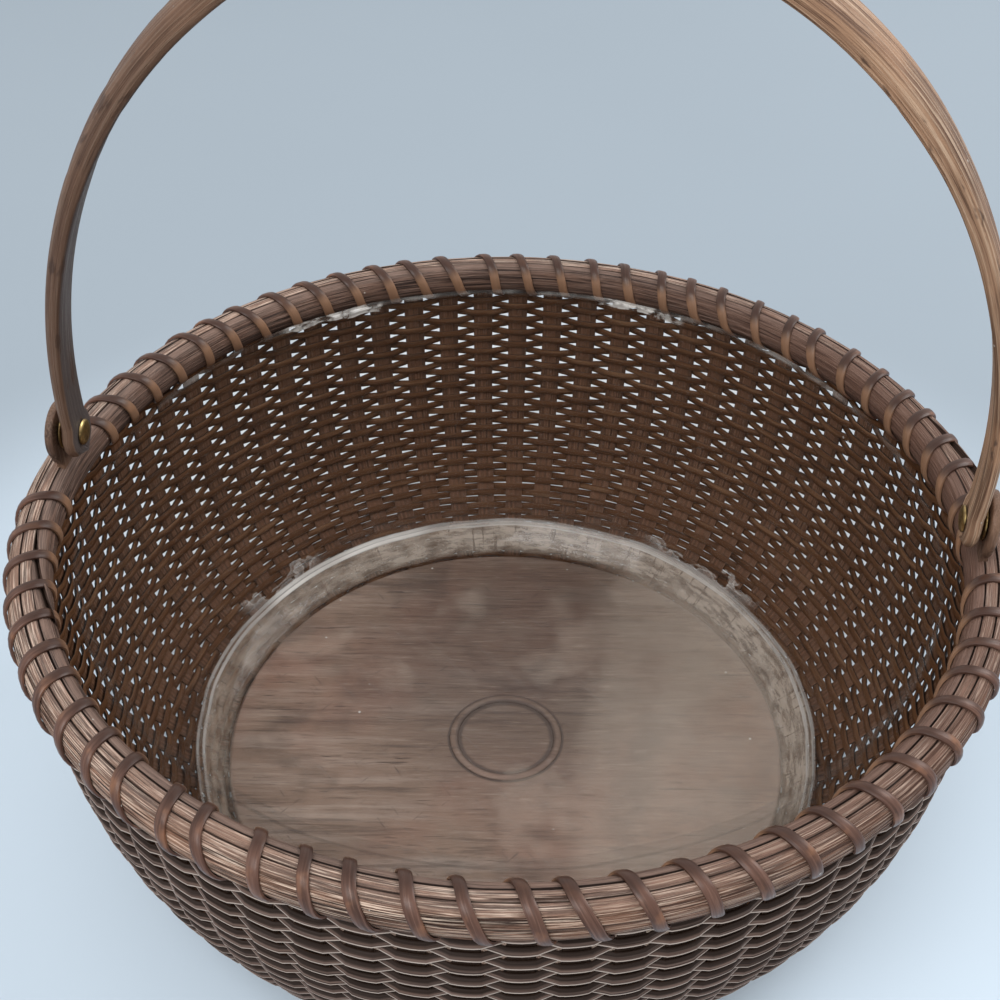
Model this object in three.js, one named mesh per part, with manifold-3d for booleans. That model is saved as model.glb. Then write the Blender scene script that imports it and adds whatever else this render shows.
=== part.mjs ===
// Round swing-handled basket: cane woven on 67 staves that stand in a turned board, a lashed rim of two
// hoops, a bent handle on two ears, and a clear liner. Millimetres, +Z up.
// The origin is the middle of the board's underside, where the basket stands. +X goes through the right ear.
import * as THREE from "three";
import { mergeVertices } from "three/addons/utils/BufferGeometryUtils.js";
import Module from "manifold-3d";

const wasm = await Module();
wasm.setup();

// Fits
const seat = 0.3; // between two pieces that bear on each other
const overrun = 2; // how far a cutter runs past what it cuts

// Rim bundle: two hoops with the staves' tips between them
const rimRadius = 122.6; // to the middle of the bundle
const rimHeight = 95; // of the bundle's middle above the table
const rimWidth = 11; // across both hoops
const rimDepth = 11; // from the hoops' upper to their lower side
const capWidth = 3; // strip laid over the staves' tips
const capThickness = 2.2;
const scarfLength = 34; // lapped ends of a hoop
const scarfGap = 0.35;

// Staves and weave
const staveCount = 67; // odd, so that the weaver changes side at each round
const staveThickness = 1.2;
const staveTipWidth = 6;
const staveFootWidth = 4.6;
const staveTipShort = 0.6; // the tips end this far below the cap strip
const weaverThickness = 1.2; // the cane that is woven on the staves

// Board
const boardRadius = 82;
const boardThickness = 9;
const boardChamfer = 1;
const boardFootChamfer = 1.5;
const grooveDepth = 4;

// Lashing: a flat strand that goes round both hoops in each gap between staves
const strandWidth = 2.6;
const strandThickness = 0.9;

// Ears, rivets and washers
const pivotRise = 15; // of the rivets above the rim's middle
const earThickness = 2.2;
const earNeckWidth = 8;
const earHeadRadius = 8;
const rivetRadius = 1.8;
const rivetHeadRadius = 4;
const rivetHeadRise = 1.6;
const rivetTailRadius = 3.5;
const rivetTailRise = 1;
const washerRadius = 5;
const washerThickness = 0.6;

// Handle: a bent strip, leaning to the front as it stands in use
const handleRise = 160; // of its middle line above the rivets
const handleWidth = 11.5; // across the arch's plane, at the top
const handleEndWidth = 10.4;
const handleThickness = 5.5; // in the arch's plane, at the top
const handleEndThickness = 4;
const handleEdge = 1.4; // worn round edge
const handleEyeRadius = 7; // round end about the rivet
const handleBias = 6; // the top stands this far to the right of the middle
const handleTilt = THREE.MathUtils.degToRad(11);

// Liner
const linerThickness = 1.4;
const linerLip = 0.9; // the rim of the liner turned out
const linerLipDepth = 1.6;
const linerPassing = 0.7; // between the liner's lip and the rivets' tails as it is lifted
const linerFootInset = 2; // of its flat floor from the board's edge
const linerRise = 0.8; // of its lip over the rim's middle

// Shape of the two bowls: exponents of the curve that runs from the upright side into the foot
const bowlRadialPower = 1.35;
const bowlAxialPower = 2.25;
const linerRadialPower = 1.5;
const linerAxialPower = 2.1;

// Facets
const wallSteps = 6;
const linerSteps = 6;
const linerSegments = 40;
const handleSteps = 24;
const smallSegments = 16;

// Sizes that follow
const pitch = (2 * Math.PI) / staveCount;
const halfWidth = rimWidth / 2;
const halfDepth = rimDepth / 2;
const octagonCutShare = 1 - Math.SQRT1_2; // corner of a regular octagon, as a share of its breadth
const rimCut = Math.min(rimWidth, rimDepth) * octagonCutShare;
const hoopFace = staveThickness / 2 + seat; // the hoops' flat sides, from the bundle's middle
const capHalf = capWidth / 2;
const capUnderside = halfDepth - capThickness; // over the bundle's middle
const grooveHeight = staveThickness + 2 * seat;
const footDepth = rimHeight - boardThickness / 2; // from the rim's middle down to the board's middle
const strandOffset = seat + strandThickness / 2; // of the strand's middle from the hoops
const weaveThickness = staveThickness + 2 * weaverThickness; // a stave with the weaver on both its sides
const wallTopDepth = halfDepth + 2 * seat + strandThickness; // the weave ends under the strand
const pivotHeight = rimHeight + pivotRise;

// Radial stack at an ear, from the staves inwards
const earOuter = rimRadius - hoopFace;
const earInner = earOuter - earThickness;
const washerOuter = earInner - seat;
const washerInner = washerOuter - washerThickness;
const eyeOuter = washerInner - seat;
const eyeInner = eyeOuter - handleEndThickness;
const tailOuter = eyeInner - seat;
const tailInner = tailOuter - rivetTailRise;
const handleSpan = (eyeOuter + eyeInner) / 2; // half the distance between the handle's ends

const materials = {
  weave: new THREE.MeshStandardMaterial({ color: 0x4a3a30, roughness: 0.75, metalness: 0 }),
  board: new THREE.MeshStandardMaterial({ color: 0x8a7568, roughness: 0.6, metalness: 0 }),
  hoop: new THREE.MeshStandardMaterial({ color: 0x7c5a48, roughness: 0.65, metalness: 0 }),
  strand: new THREE.MeshStandardMaterial({ color: 0x7a5744, roughness: 0.45, metalness: 0 }),
  handle: new THREE.MeshStandardMaterial({ color: 0x94745f, roughness: 0.5, metalness: 0 }),
  ear: new THREE.MeshStandardMaterial({ color: 0x6b4c3a, roughness: 0.55, metalness: 0 }),
  brass: new THREE.MeshStandardMaterial({ color: 0x9a7b45, roughness: 0.4, metalness: 1 }),
  liner: new THREE.MeshStandardMaterial({ color: 0xdfe3e2, roughness: 0.15, metalness: 0 }),
};

// A closed mesh as a solid, and back.
function solid(geometry) {
  const bare = geometry.clone();
  bare.deleteAttribute("normal");
  bare.deleteAttribute("uv");
  const merged = mergeVertices(bare, 1e-4);
  return new wasm.Manifold(
    new wasm.Mesh({
      numProp: 3,
      vertProperties: new Float32Array(merged.attributes.position.array),
      triVerts: new Uint32Array(merged.index.array),
    }),
  );
}

function geometryOf(body) {
  const mesh = body.getMesh();
  const geometry = new THREE.BufferGeometry();
  geometry.setAttribute("position", new THREE.BufferAttribute(new Float32Array(mesh.vertProperties), 3));
  geometry.setIndex(new THREE.BufferAttribute(new Uint32Array(mesh.triVerts), 1));
  geometry.computeVertexNormals();
  return geometry;
}

function cut(geometry, ...cutters) {
  return geometryOf(cutters.reduce((body, cutter) => body.subtract(solid(cutter)), solid(geometry)));
}

// A profile of [radius, height] pairs turned about Z. The facets' corners lie between the staves, so that
// each stave has a flat facet to lie in.
function turned(profile, segments = staveCount) {
  const points = profile.map(([radius, height]) => new THREE.Vector2(radius, height));
  return new THREE.LatheGeometry(points, segments)
    .rotateX(Math.PI / 2)
    .rotateZ(Math.PI / 2 + Math.PI / segments);
}

function closedRing(profile, segments) {
  return turned([...profile, profile[0]], segments);
}

// Skin over a row of rings that have equal counts of points. It has flat ends, or the last ring joins the
// first.
function lofted(rings, endless = false) {
  const count = rings[0].length;
  const position = rings.flat().flatMap((point) => [point.x, point.y, point.z]);
  const index = [];
  const last = (rings.length - 1) * count;
  for (let start = 0; start < (endless ? last + count : last); start += count) {
    const next = (start + count) % (last + count);
    for (let corner = 0; corner < count; corner++) {
      const beside = (corner + 1) % count;
      index.push(start + corner, start + beside, next + beside, start + corner, next + beside, next + corner);
    }
  }
  for (let corner = 1; corner < count - 1 && !endless; corner++) {
    index.push(0, corner + 1, corner, last, last + corner, last + corner + 1);
  }
  const geometry = new THREE.BufferGeometry();
  geometry.setAttribute("position", new THREE.Float32BufferAttribute(position, 3));
  geometry.setIndex(index);
  geometry.computeVertexNormals();
  return geometry;
}

// Point of a bowl's curve and its outward normal in the radial plane. The turn runs from 0 at the rim, where
// the side is upright, to 1 at the foot, where it lies flat.
function bowlPoint(bowl, turn) {
  const at = (share) => {
    const angle = (share * Math.PI) / 2;
    return new THREE.Vector2(
      bowl.foot + (bowl.rim - bowl.foot) * Math.cos(angle) ** (2 / bowl.radialPower),
      bowl.top - bowl.depth * Math.sin(angle) ** (2 / bowl.axialPower),
    );
  };
  const stepShare = 0.001;
  const point = at(turn);
  const along = at(Math.min(1, turn + stepShare)).sub(at(Math.max(0, turn - stepShare)));
  return { point, normal: new THREE.Vector2(-along.y, along.x).normalize() };
}

// The turn at which a bowl's curve reaches a depth below its top.
function turnAtDepth(bowl, depth) {
  return Math.asin((depth / bowl.depth) ** (bowl.axialPower / 2)) / (Math.PI / 2);
}

function bowlTurns(first, last, steps) {
  return Array.from({ length: steps + 1 }, (_, step) => first + ((last - first) * step) / steps);
}

// One face of a shell that lies along a bowl's curve.
function bowlSide(bowl, turns, offset) {
  return turns.map((turn) => {
    const { point, normal } = bowlPoint(bowl, turn);
    return [point.x + normal.x * offset, point.y + normal.y * offset];
  });
}

const wallBowl = {
  foot: boardRadius,
  rim: rimRadius,
  top: rimHeight,
  depth: footDepth,
  radialPower: bowlRadialPower,
  axialPower: bowlAxialPower,
};

// The weave starts clear of the board's edge: its end there is square to the curve, which has begun to rise.
const footTurnShare = 0.965;
const wallTurns = bowlTurns(turnAtDepth(wallBowl, wallTopDepth), footTurnShare, wallSteps);
const grooveMiddle = bowlPoint(wallBowl, footTurnShare).point.y; // the staves' feet run in level

// A stave: a tongue in the board's groove, a bend, an upright side and a tip between the hoops. It narrows
// towards the foot.
function stave(angle) {
  const tongueEnd = new THREE.Vector2(boardRadius - grooveDepth + 2 * seat, grooveMiddle);
  const tipEnd = new THREE.Vector2(rimRadius, rimHeight + capUnderside - seat - staveTipShort);
  const line = [
    { place: tongueEnd, normal: new THREE.Vector2(0, -1), widthShare: 0 },
    ...[...wallTurns].reverse().map((turn) => {
      const { point, normal } = bowlPoint(wallBowl, turn);
      return { place: point, normal, widthShare: (point.x - boardRadius) / (rimRadius - boardRadius) };
    }),
    { place: tipEnd, normal: new THREE.Vector2(1, 0), widthShare: 1 },
  ];
  const rings = line.map(({ place, normal, widthShare }) => {
    const half = THREE.MathUtils.lerp(staveFootWidth, staveTipWidth, widthShare) / 2;
    const inside = place.clone().addScaledVector(normal, -staveThickness / 2);
    const outside = place.clone().addScaledVector(normal, staveThickness / 2);
    return [
      new THREE.Vector3(inside.x, half, inside.y),
      new THREE.Vector3(inside.x, -half, inside.y),
      new THREE.Vector3(outside.x, -half, outside.y),
      new THREE.Vector3(outside.x, half, outside.y),
    ];
  });
  return lofted(rings).rotateZ(angle);
}

// Section of the woven side at an angle about the basket, down its outside and up its inside.
function weaveSection(angle, thickness) {
  const outside = bowlSide(wallBowl, wallTurns, thickness / 2);
  const inside = bowlSide(wallBowl, wallTurns, -thickness / 2).reverse();
  return [...outside, ...inside].map(([radius, height]) =>
    new THREE.Vector3(radius * Math.cos(angle), radius * Math.sin(angle), height));
}

// The woven side, a shell with the staves in the middle of its thickness. Both its faces are ribbed: the
// weaver stands out over the staves and is alone halfway between them.
function wovenWall() {
  const sections = [];
  for (let number = 0; number < staveCount; number++) {
    sections.push(weaveSection(number * pitch, weaveThickness));
    sections.push(weaveSection((number + 1 / 2) * pitch, weaverThickness));
  }
  const parts = [solid(lofted(sections, true))];
  for (let number = 0; number < staveCount; number++) parts.push(solid(stave(number * pitch)));
  return geometryOf(wasm.Manifold.union(parts));
}

function baseBoard() {
  const grooveBottom = boardRadius - grooveDepth;
  return turned([
    [0, 0],
    [boardRadius - boardFootChamfer, 0],
    [boardRadius, boardFootChamfer],
    [boardRadius, grooveMiddle - grooveHeight / 2],
    [grooveBottom, grooveMiddle - grooveHeight / 2],
    [grooveBottom, grooveMiddle + grooveHeight / 2],
    [boardRadius, grooveMiddle + grooveHeight / 2],
    [boardRadius, boardThickness - boardChamfer],
    [boardRadius - boardChamfer, boardThickness],
    [0, boardThickness],
  ]);
}

// The room that an ear takes in the rim.
function earRoom(side) {
  const length = earThickness + 2 * seat;
  return new THREE.BoxGeometry(length, earNeckWidth + 2 * seat, rimDepth + 2 * overrun).translate(
    side * (earOuter + seat - length / 2),
    0,
    rimHeight,
  );
}

// The slanted slit where a hoop's two ends lap. It runs along the hoop and from its outer to its inner side.
function scarfSlit(radius, breadth, angle) {
  const slant = Math.atan2(breadth, scarfLength);
  const length = Math.hypot(breadth, scarfLength) + 2 * overrun;
  return new THREE.BoxGeometry(scarfGap, length, rimDepth + 2 * overrun)
    .rotateZ(slant)
    .translate(radius, 0, rimHeight)
    .rotateZ(angle);
}

// A hoop's section, given from the bundle's middle outwards and turned inside by the side's sign.
function hoopProfile(side) {
  const section = [
    [hoopFace, -halfDepth],
    [halfWidth - rimCut, -halfDepth],
    [halfWidth, -halfDepth + rimCut],
    [halfWidth, halfDepth - rimCut],
    [halfWidth - rimCut, halfDepth],
    [capHalf + seat, halfDepth],
    [capHalf + seat, capUnderside - seat],
    [hoopFace, capUnderside - seat],
  ];
  const placed = section.map(([out, up]) => [rimRadius + side * out, rimHeight + up]);
  return side > 0 ? placed : placed.reverse();
}

const outerScarfAngle = THREE.MathUtils.degToRad(12);
const innerScarfAngle = THREE.MathUtils.degToRad(194);

function outerHoop() {
  const breadth = halfWidth - hoopFace;
  const slit = scarfSlit(rimRadius + hoopFace + breadth / 2, breadth, outerScarfAngle);
  return cut(closedRing(hoopProfile(1)), slit);
}

function innerHoop() {
  const breadth = halfWidth - hoopFace;
  const slit = scarfSlit(rimRadius - hoopFace - breadth / 2, breadth, innerScarfAngle);
  return cut(closedRing(hoopProfile(-1)), slit, earRoom(1), earRoom(-1));
}

function capStrip() {
  const ring = closedRing([
    [rimRadius - capHalf, rimHeight + capUnderside],
    [rimRadius + capHalf, rimHeight + capUnderside],
    [rimRadius + capHalf, rimHeight + halfDepth],
    [rimRadius - capHalf, rimHeight + halfDepth],
  ]);
  return cut(ring, earRoom(1), earRoom(-1));
}

// The strand's way round the rim: the eight corners of the bundle's section, set off by the strand's seat,
// from the lower outer corner under the hoops, up the inside and over the top.
function strandCorners() {
  const breadth = halfWidth + strandOffset;
  const height = halfDepth + strandOffset;
  const corner = Math.min(breadth, height) * 2 * octagonCutShare;
  return [
    [breadth - corner, -height],
    [-(breadth - corner), -height],
    [-breadth, -(height - corner)],
    [-breadth, height - corner],
    [-(breadth - corner), height],
    [breadth - corner, height],
    [breadth, height - corner],
    [breadth, -(height - corner)],
  ];
}

const underCorners = 2; // the first corners of the strand's way, under the hoops

// A lashing strand crosses under the hoops square to them in each gap between two staves, and moves on to
// the next gap on its way over the top.
function lashing(name, firstGap, lastGap) {
  const corners = strandCorners();
  const mitre = strandThickness / 2 / Math.cos(Math.PI / corners.length);
  const rings = [];
  const middles = [];
  const addRing = ([out, up], angle) => {
    const radial = rimRadius + out;
    middles.push(new THREE.Vector3(radial * Math.cos(angle), radial * Math.sin(angle), rimHeight + up));
    const away = new THREE.Vector2(out, up).normalize();
    const ring = [
      [-1, -1],
      [-1, 1],
      [1, 1],
      [1, -1],
    ].map(([through, along]) => {
      const radius = rimRadius + out + away.x * through * mitre;
      const height = rimHeight + up + away.y * through * mitre;
      const half = (along * strandWidth) / 2;
      return new THREE.Vector3(
        radius * Math.cos(angle) - half * Math.sin(angle),
        radius * Math.sin(angle) + half * Math.cos(angle),
        height,
      );
    });
    rings.push(ring);
  };
  for (let gap = firstGap; gap <= lastGap; gap++) {
    const angle = (gap + 1 / 2) * pitch;
    const turn = gap === lastGap ? corners.slice(0, underCorners) : corners;
    turn.forEach((corner, place) => {
      const onward = Math.max(0, place + 1 - underCorners) / (corners.length + 1 - underCorners);
      addRing(corner, angle + pitch * onward);
    });
  }
  console.log(name + ": least gap between its turns " + leastGap(middles, corners.length).toFixed(1) + " mm");
  return lofted(rings);
}

// The least room between the turns of a lashing, measured on the points of its middle line: each point
// against all points from the next turn on, less the strand's width.
function leastGap(middles, turnPoints) {
  const distances = middles.flatMap((point, place) =>
    middles.slice(place + turnPoints).map((other) => point.distanceTo(other)));
  return Math.min(...distances) - strandWidth;
}

// Turned about X: a profile of [radius, place along X].
function turnedAcross(profile) {
  const points = profile.map(([radius, place]) => new THREE.Vector2(radius, place));
  return new THREE.LatheGeometry(points, smallSegments).rotateZ(-Math.PI / 2);
}

// A plate's outline in Y and Z, given its thickness along +X.
function plate(shape, thickness) {
  const basis = new THREE.Matrix4().makeBasis(
    new THREE.Vector3(0, 1, 0),
    new THREE.Vector3(0, 0, 1),
    new THREE.Vector3(1, 0, 0),
  );
  const settings = { depth: thickness, bevelEnabled: false, curveSegments: smallSegments / 2 };
  return new THREE.ExtrudeGeometry(shape, settings).applyMatrix4(basis);
}

// The right ear, with its tongue between hoops, a neck that passes between two turns of the lashing, and a
// round head with the rivet's hole.
function ear() {
  const half = earNeckWidth / 2;
  const bottom = rimHeight - halfDepth + seat;
  const shoulder = pivotHeight - earHeadRadius;
  const shape = new THREE.Shape();
  shape.moveTo(-half, bottom);
  shape.lineTo(half, bottom);
  shape.lineTo(half, shoulder);
  shape.quadraticCurveTo(earHeadRadius, shoulder, earHeadRadius, pivotHeight);
  shape.absarc(0, pivotHeight, earHeadRadius, 0, Math.PI, false);
  shape.quadraticCurveTo(-earHeadRadius, shoulder, -half, shoulder);
  shape.closePath();
  shape.holes.push(new THREE.Path().absarc(0, pivotHeight, rivetRadius + seat, 0, 2 * Math.PI, true));
  return plate(shape, earThickness).translate(earInner, 0, 0);
}

// A rivet with a domed head outside the ear and a spread tail inside the handle's eye.
function rivet() {
  const headBase = earOuter + seat;
  const dome = new THREE.EllipseCurve(0, headBase, rivetHeadRadius, rivetHeadRise, 0, Math.PI / 2);
  return turnedAcross([
    [0, tailInner],
    [rivetTailRadius, tailInner],
    [rivetTailRadius, tailOuter],
    [rivetRadius, tailOuter],
    [rivetRadius, headBase],
    ...dome.getPoints(3).map((point) => [Math.max(0, point.x), point.y]),
  ]).translate(0, 0, pivotHeight);
}

function washer() {
  const bore = rivetRadius + seat;
  return turnedAcross([
    [bore, washerInner],
    [washerRadius, washerInner],
    [washerRadius, washerOuter],
    [bore, washerOuter],
    [bore, washerInner],
  ]).translate(0, 0, pivotHeight);
}

// The handle's middle line over the rivets, from the right end over the top to the left end.
function handlePoint(angle) {
  const bias = handleBias * Math.sin(angle);
  return new THREE.Vector2(handleSpan * Math.cos(angle) + bias, handleRise * Math.sin(angle));
}

// Eight-cornered section of the handle: its corners are the worn edges of the strip.
function handleSection(place, normal, width, thickness) {
  const edge = Math.min(handleEdge, thickness / 3);
  const outline = [
    [thickness / 2, -width / 2 + edge],
    [thickness / 2, width / 2 - edge],
    [thickness / 2 - edge, width / 2],
    [-thickness / 2 + edge, width / 2],
    [-thickness / 2, width / 2 - edge],
    [-thickness / 2, -width / 2 + edge],
    [-thickness / 2 + edge, -width / 2],
    [thickness / 2 - edge, -width / 2],
  ];
  return outline.map(([out, across]) =>
    new THREE.Vector3(place.x + normal.x * out, across, place.y + normal.y * out));
}

function handle() {
  const rings = [];
  const nudgeShare = 0.001;
  for (let step = 0; step <= handleSteps; step++) {
    const angle = (Math.PI * step) / handleSteps;
    const along = handlePoint(angle + nudgeShare).sub(handlePoint(angle - nudgeShare));
    const normal = new THREE.Vector2(along.y, -along.x).normalize();
    const upright = step === 0 || step === handleSteps;
    if (upright) normal.set(Math.sign(Math.cos(angle)), 0);
    const fullness = Math.abs(Math.sin(angle));
    const width = THREE.MathUtils.lerp(handleEndWidth, handleWidth, fullness);
    const thickness = THREE.MathUtils.lerp(handleEndThickness, handleThickness, fullness);
    rings.push(handleSection(handlePoint(angle), normal, width, thickness));
  }
  const eye = new THREE.Shape().absarc(0, 0, handleEyeRadius, 0, 2 * Math.PI, false);
  const hole = new THREE.Shape().absarc(0, 0, rivetRadius + seat, 0, 2 * Math.PI, false);
  const bar = solid(lofted(rings));
  const eyes = [eyeInner, -eyeOuter].map((place) =>
    solid(plate(eye, handleEndThickness).translate(place, 0, 0)));
  const reach = 2 * (eyeOuter + overrun);
  const drill = solid(plate(hole, reach).translate(-reach / 2, 0, 0));
  return geometryOf(wasm.Manifold.union([bar, ...eyes]).subtract(drill));
}

// A thin clear bowl that stands on the board, with its lip turned out.
function clearLiner() {
  const lipTop = rimHeight + linerRise;
  const bottom = boardThickness + seat;
  const lipRadius = tailInner - linerPassing;
  const bowl = {
    foot: boardRadius - linerFootInset,
    rim: lipRadius - linerLip,
    top: lipTop,
    depth: lipTop - bottom,
    radialPower: linerRadialPower,
    axialPower: linerAxialPower,
  };
  const outside = bowlSide(bowl, bowlTurns(turnAtDepth(bowl, linerLipDepth), 1, linerSteps), 0);
  const inside = bowlSide(bowl, bowlTurns(0, 1, linerSteps), -linerThickness);
  return turned(
    [
      [0, bottom],
      ...outside.reverse(),
      [lipRadius, lipTop - linerLipDepth],
      [lipRadius, lipTop],
      ...inside,
      [0, bottom + linerThickness],
    ],
    linerSegments,
  );
}

const basket = new THREE.Group();

function add(name, geometry, material, group = basket) {
  const mesh = new THREE.Mesh(geometry, material);
  mesh.name = name;
  group.add(mesh);
  return mesh;
}

add("base_board", baseBoard(), materials.board);
add("woven_wall", wovenWall(), materials.weave);
add("outer_hoop", outerHoop(), materials.hoop);
add("inner_hoop", innerHoop(), materials.hoop);
add("cap_strip", capStrip(), materials.hoop);

// The left ear stands over a gap, so the two strands leave out the turn that would cross it.
const leftGap = (staveCount - 1) / 2;
const strands = [
  ["lashing_back", 0, leftGap - 1],
  ["lashing_front", leftGap + 1, staveCount - 1],
];
for (const [name, firstGap, lastGap] of strands) {
  add(name, lashing(name, firstGap, lastGap), materials.strand);
}

const sides = [
  ["right", 0],
  ["left", Math.PI],
];
for (const [side, angle] of sides) {
  const pieces = [
    ["ear", ear(), materials.ear],
    ["rivet", rivet(), materials.brass],
    ["washer", washer(), materials.brass],
  ];
  for (const [piece, geometry, material] of pieces) {
    add(piece + "_" + side, geometry, material).rotation.z = angle;
  }
}

const swing = new THREE.Group();
swing.position.z = pivotHeight;
swing.rotation.x = handleTilt;
basket.add(swing);
add("handle", handle(), materials.handle, swing);
add("clear_liner", clearLiner(), materials.liner);

export default basket;
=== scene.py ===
"""Looks of a round woven basket with a lashed rim, a swinging handle and a clear liner.

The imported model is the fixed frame. Each sub-assembly is a class that makes its pieces with bmesh and
dresses them. Metres, +Z up: the basket stands on the floor, with the middle of its board at the origin,
and its handle hinges along X.
"""

import logging
import math
from collections.abc import Callable, Sequence
from dataclasses import dataclass, field
from enum import Enum

import bmesh
import bpy
import numpy as np
from mathutils import Matrix, Vector
from mathutils.kdtree import KDTree

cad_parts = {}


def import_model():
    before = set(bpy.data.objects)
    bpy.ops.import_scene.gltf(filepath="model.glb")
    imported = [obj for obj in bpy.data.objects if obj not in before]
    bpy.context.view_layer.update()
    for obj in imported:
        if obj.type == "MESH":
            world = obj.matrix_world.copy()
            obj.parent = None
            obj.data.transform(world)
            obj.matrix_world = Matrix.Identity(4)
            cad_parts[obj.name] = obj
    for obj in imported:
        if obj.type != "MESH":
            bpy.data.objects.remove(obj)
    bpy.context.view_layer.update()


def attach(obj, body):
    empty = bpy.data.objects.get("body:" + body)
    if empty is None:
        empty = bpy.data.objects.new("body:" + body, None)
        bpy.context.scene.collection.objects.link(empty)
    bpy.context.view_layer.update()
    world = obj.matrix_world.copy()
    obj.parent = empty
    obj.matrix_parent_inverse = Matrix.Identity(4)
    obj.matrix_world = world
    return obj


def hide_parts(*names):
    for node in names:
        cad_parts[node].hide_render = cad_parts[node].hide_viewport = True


log = logging.getLogger("basket")

MM = 0.001
BOARD_RADIUS = 82 * MM
RIM_RADIUS = 122.6 * MM
RIM_HEIGHT = 95 * MM
BUNDLE_HALF = 5.5 * MM  # half of the rim's thickness, both hoops and the staves' tips together
RING_RADIUS = 15.5 * MM
PIVOT_HEIGHT = 110 * MM
STAVE_COUNT = 67
SHARP_ANGLE = math.radians(50.0)  # edges that turn by more stay sharp on a piece that gives no angle
RUN = "run"  # attribute with each point's place on the straight strip: along, across, through
Array = np.ndarray
Colour = tuple[float, float, float]
Place = tuple[float, float, float]
Pair = tuple[float, float]
Section = Sequence[Pair]
Arcs = tuple[Pair, ...]  # middle and half of each arc about Z, in degrees
Lines = tuple[tuple[Place, float], ...]  # turn and length of each set of lines
LEVEL: Place = (1.0, 1.0, 0.0)  # times a place, leaves its height out
Node = bpy.types.Node
Socket = bpy.types.NodeSocket
Value = Socket | float  # what a Math node's input takes


class Body(Enum):
    """Bodies of the frame that pieces ride on."""

    BASKET = "basket"
    HANDLE = "handle"
    LINER = "liner"


class Slot(Enum):
    """Material slots of the record."""

    WEAVE = "weave_cane"
    BOARD = "board_wood"
    HOOP = "hoop_wood"
    STRAND = "strand_cane"
    HANDLE = "handle_wood"
    EAR = "ear_wood"
    BRASS = "rivet_brass"
    LINER = "liner_clear"


# Curves and smooth random lines


class Wander:
    """A smooth random line from -1 to 1, with one seeded value at each whole number."""

    def __init__(self, seed: int, count: int = 512) -> None:
        """Draws the values.

        Args:
            seed: number that the values follow from.
            count: how many values there are before the line repeats.
        """
        self.values = np.random.default_rng(seed).uniform(-1.0, 1.0, count)

    def at(self, place: Array) -> Array:
        """Reads the line.

        Args:
            place: places along it, in values.

        Returns:
            The line's height at each place.
        """
        first = np.floor(place).astype(int)
        share = place - first
        smooth = share * share * (3.0 - 2.0 * share)
        count = len(self.values)
        low = self.values[first % count]
        return low + (self.values[(first + 1) % count] - low) * smooth


@dataclass(frozen=True)
class Bowl:
    """Curve of a bowl's side: turn 0 is the upright rim and turn 1 the flat foot."""

    foot: float
    rim: float
    top: float
    depth: float
    radial_power: float
    axial_power: float

    def at(self, turn: Array) -> tuple[Array, Array]:
        """Follows the curve.

        Args:
            turn: share of the way from the rim to the foot.

        Returns:
            The radius and the height at each turn.
        """
        angle = turn * math.pi / 2.0
        level = np.clip(np.cos(angle), 0.0, 1.0)
        radius = self.foot + (self.rim - self.foot) * level ** (2.0 / self.radial_power)
        height = self.top - self.depth * np.sin(angle) ** (2.0 / self.axial_power)
        return radius, height

    def turn_at_depth(self, depth: float) -> float:
        """Returns the turn at which the curve lies this far below its top."""
        return math.asin((depth / self.depth) ** (self.axial_power / 2.0)) / (math.pi / 2.0)


class Rail:
    """A curve in the radial plane, measured by length from its foot up, with its outward normal."""

    def __init__(self, radius: Array, height: Array) -> None:
        """Measures the curve through points that run upwards.

        Args:
            radius: distance of each point from the basket's axis.
            height: height of each point.
        """
        self.radius = radius
        self.height = height
        steps = np.hypot(np.diff(radius), np.diff(height))
        self.place = np.concatenate([[0.0], np.cumsum(steps)])
        rise = np.gradient(height, self.place)
        spread = np.gradient(radius, self.place)
        size = np.hypot(rise, spread)
        self.out = rise / size
        self.up = -spread / size

    @classmethod
    def along(cls, bowl: Bowl, first_turn: float, last_turn: float, points: int = 600) -> "Rail":
        """Returns the rail of a bowl's side between two turns, the foot's turn first."""
        radius, height = bowl.at(np.linspace(first_turn, last_turn, points))
        return cls(radius, height)

    @property
    def length(self) -> float:
        """Length of the curve."""
        return float(self.place[-1])

    def lay(self, place: Array, through: Array) -> tuple[Array, Array]:
        """Returns the radius and height of points off the curve.

        Args:
            place: length along the curve from its foot; past an end the curve goes on straight.
            through: distance from the curve along its outward normal.

        Returns:
            The radius and the height of each point.
        """
        inside = np.clip(place, 0.0, self.length)
        beyond = place - inside
        out = np.interp(inside, self.place, self.out)
        up = np.interp(inside, self.place, self.up)
        radius = np.interp(inside, self.place, self.radius) - up * beyond + out * through
        height = np.interp(inside, self.place, self.height) + out * beyond + up * through
        return radius, height


# Mesh tools


def turned_points(radius: Array, angle: Array, height: Array) -> Array:
    """Returns points from their radius, angle about Z and height."""
    return np.stack([radius * np.cos(angle), radius * np.sin(angle), height], axis=1)


def finish_mesh(name: str, bm: bmesh.types.BMesh, sharp_angle: float = SHARP_ANGLE) -> bpy.types.Object:
    """Makes an object of a bmesh, shaded smooth but for its sharp edges.

    Args:
        name: the piece's name.
        bm: the modelled piece, which is freed.
        sharp_angle: edges that turn by more stay sharp.

    Returns:
        The object, linked to the scene.
    """
    mesh = bpy.data.meshes.new(name)
    bm.to_mesh(mesh)
    bm.free()
    mesh.shade_smooth()
    mesh.set_sharp_from_angle(angle=sharp_angle)
    piece = bpy.data.objects.new(name, mesh)
    bpy.context.scene.collection.objects.link(piece)
    return piece


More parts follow.
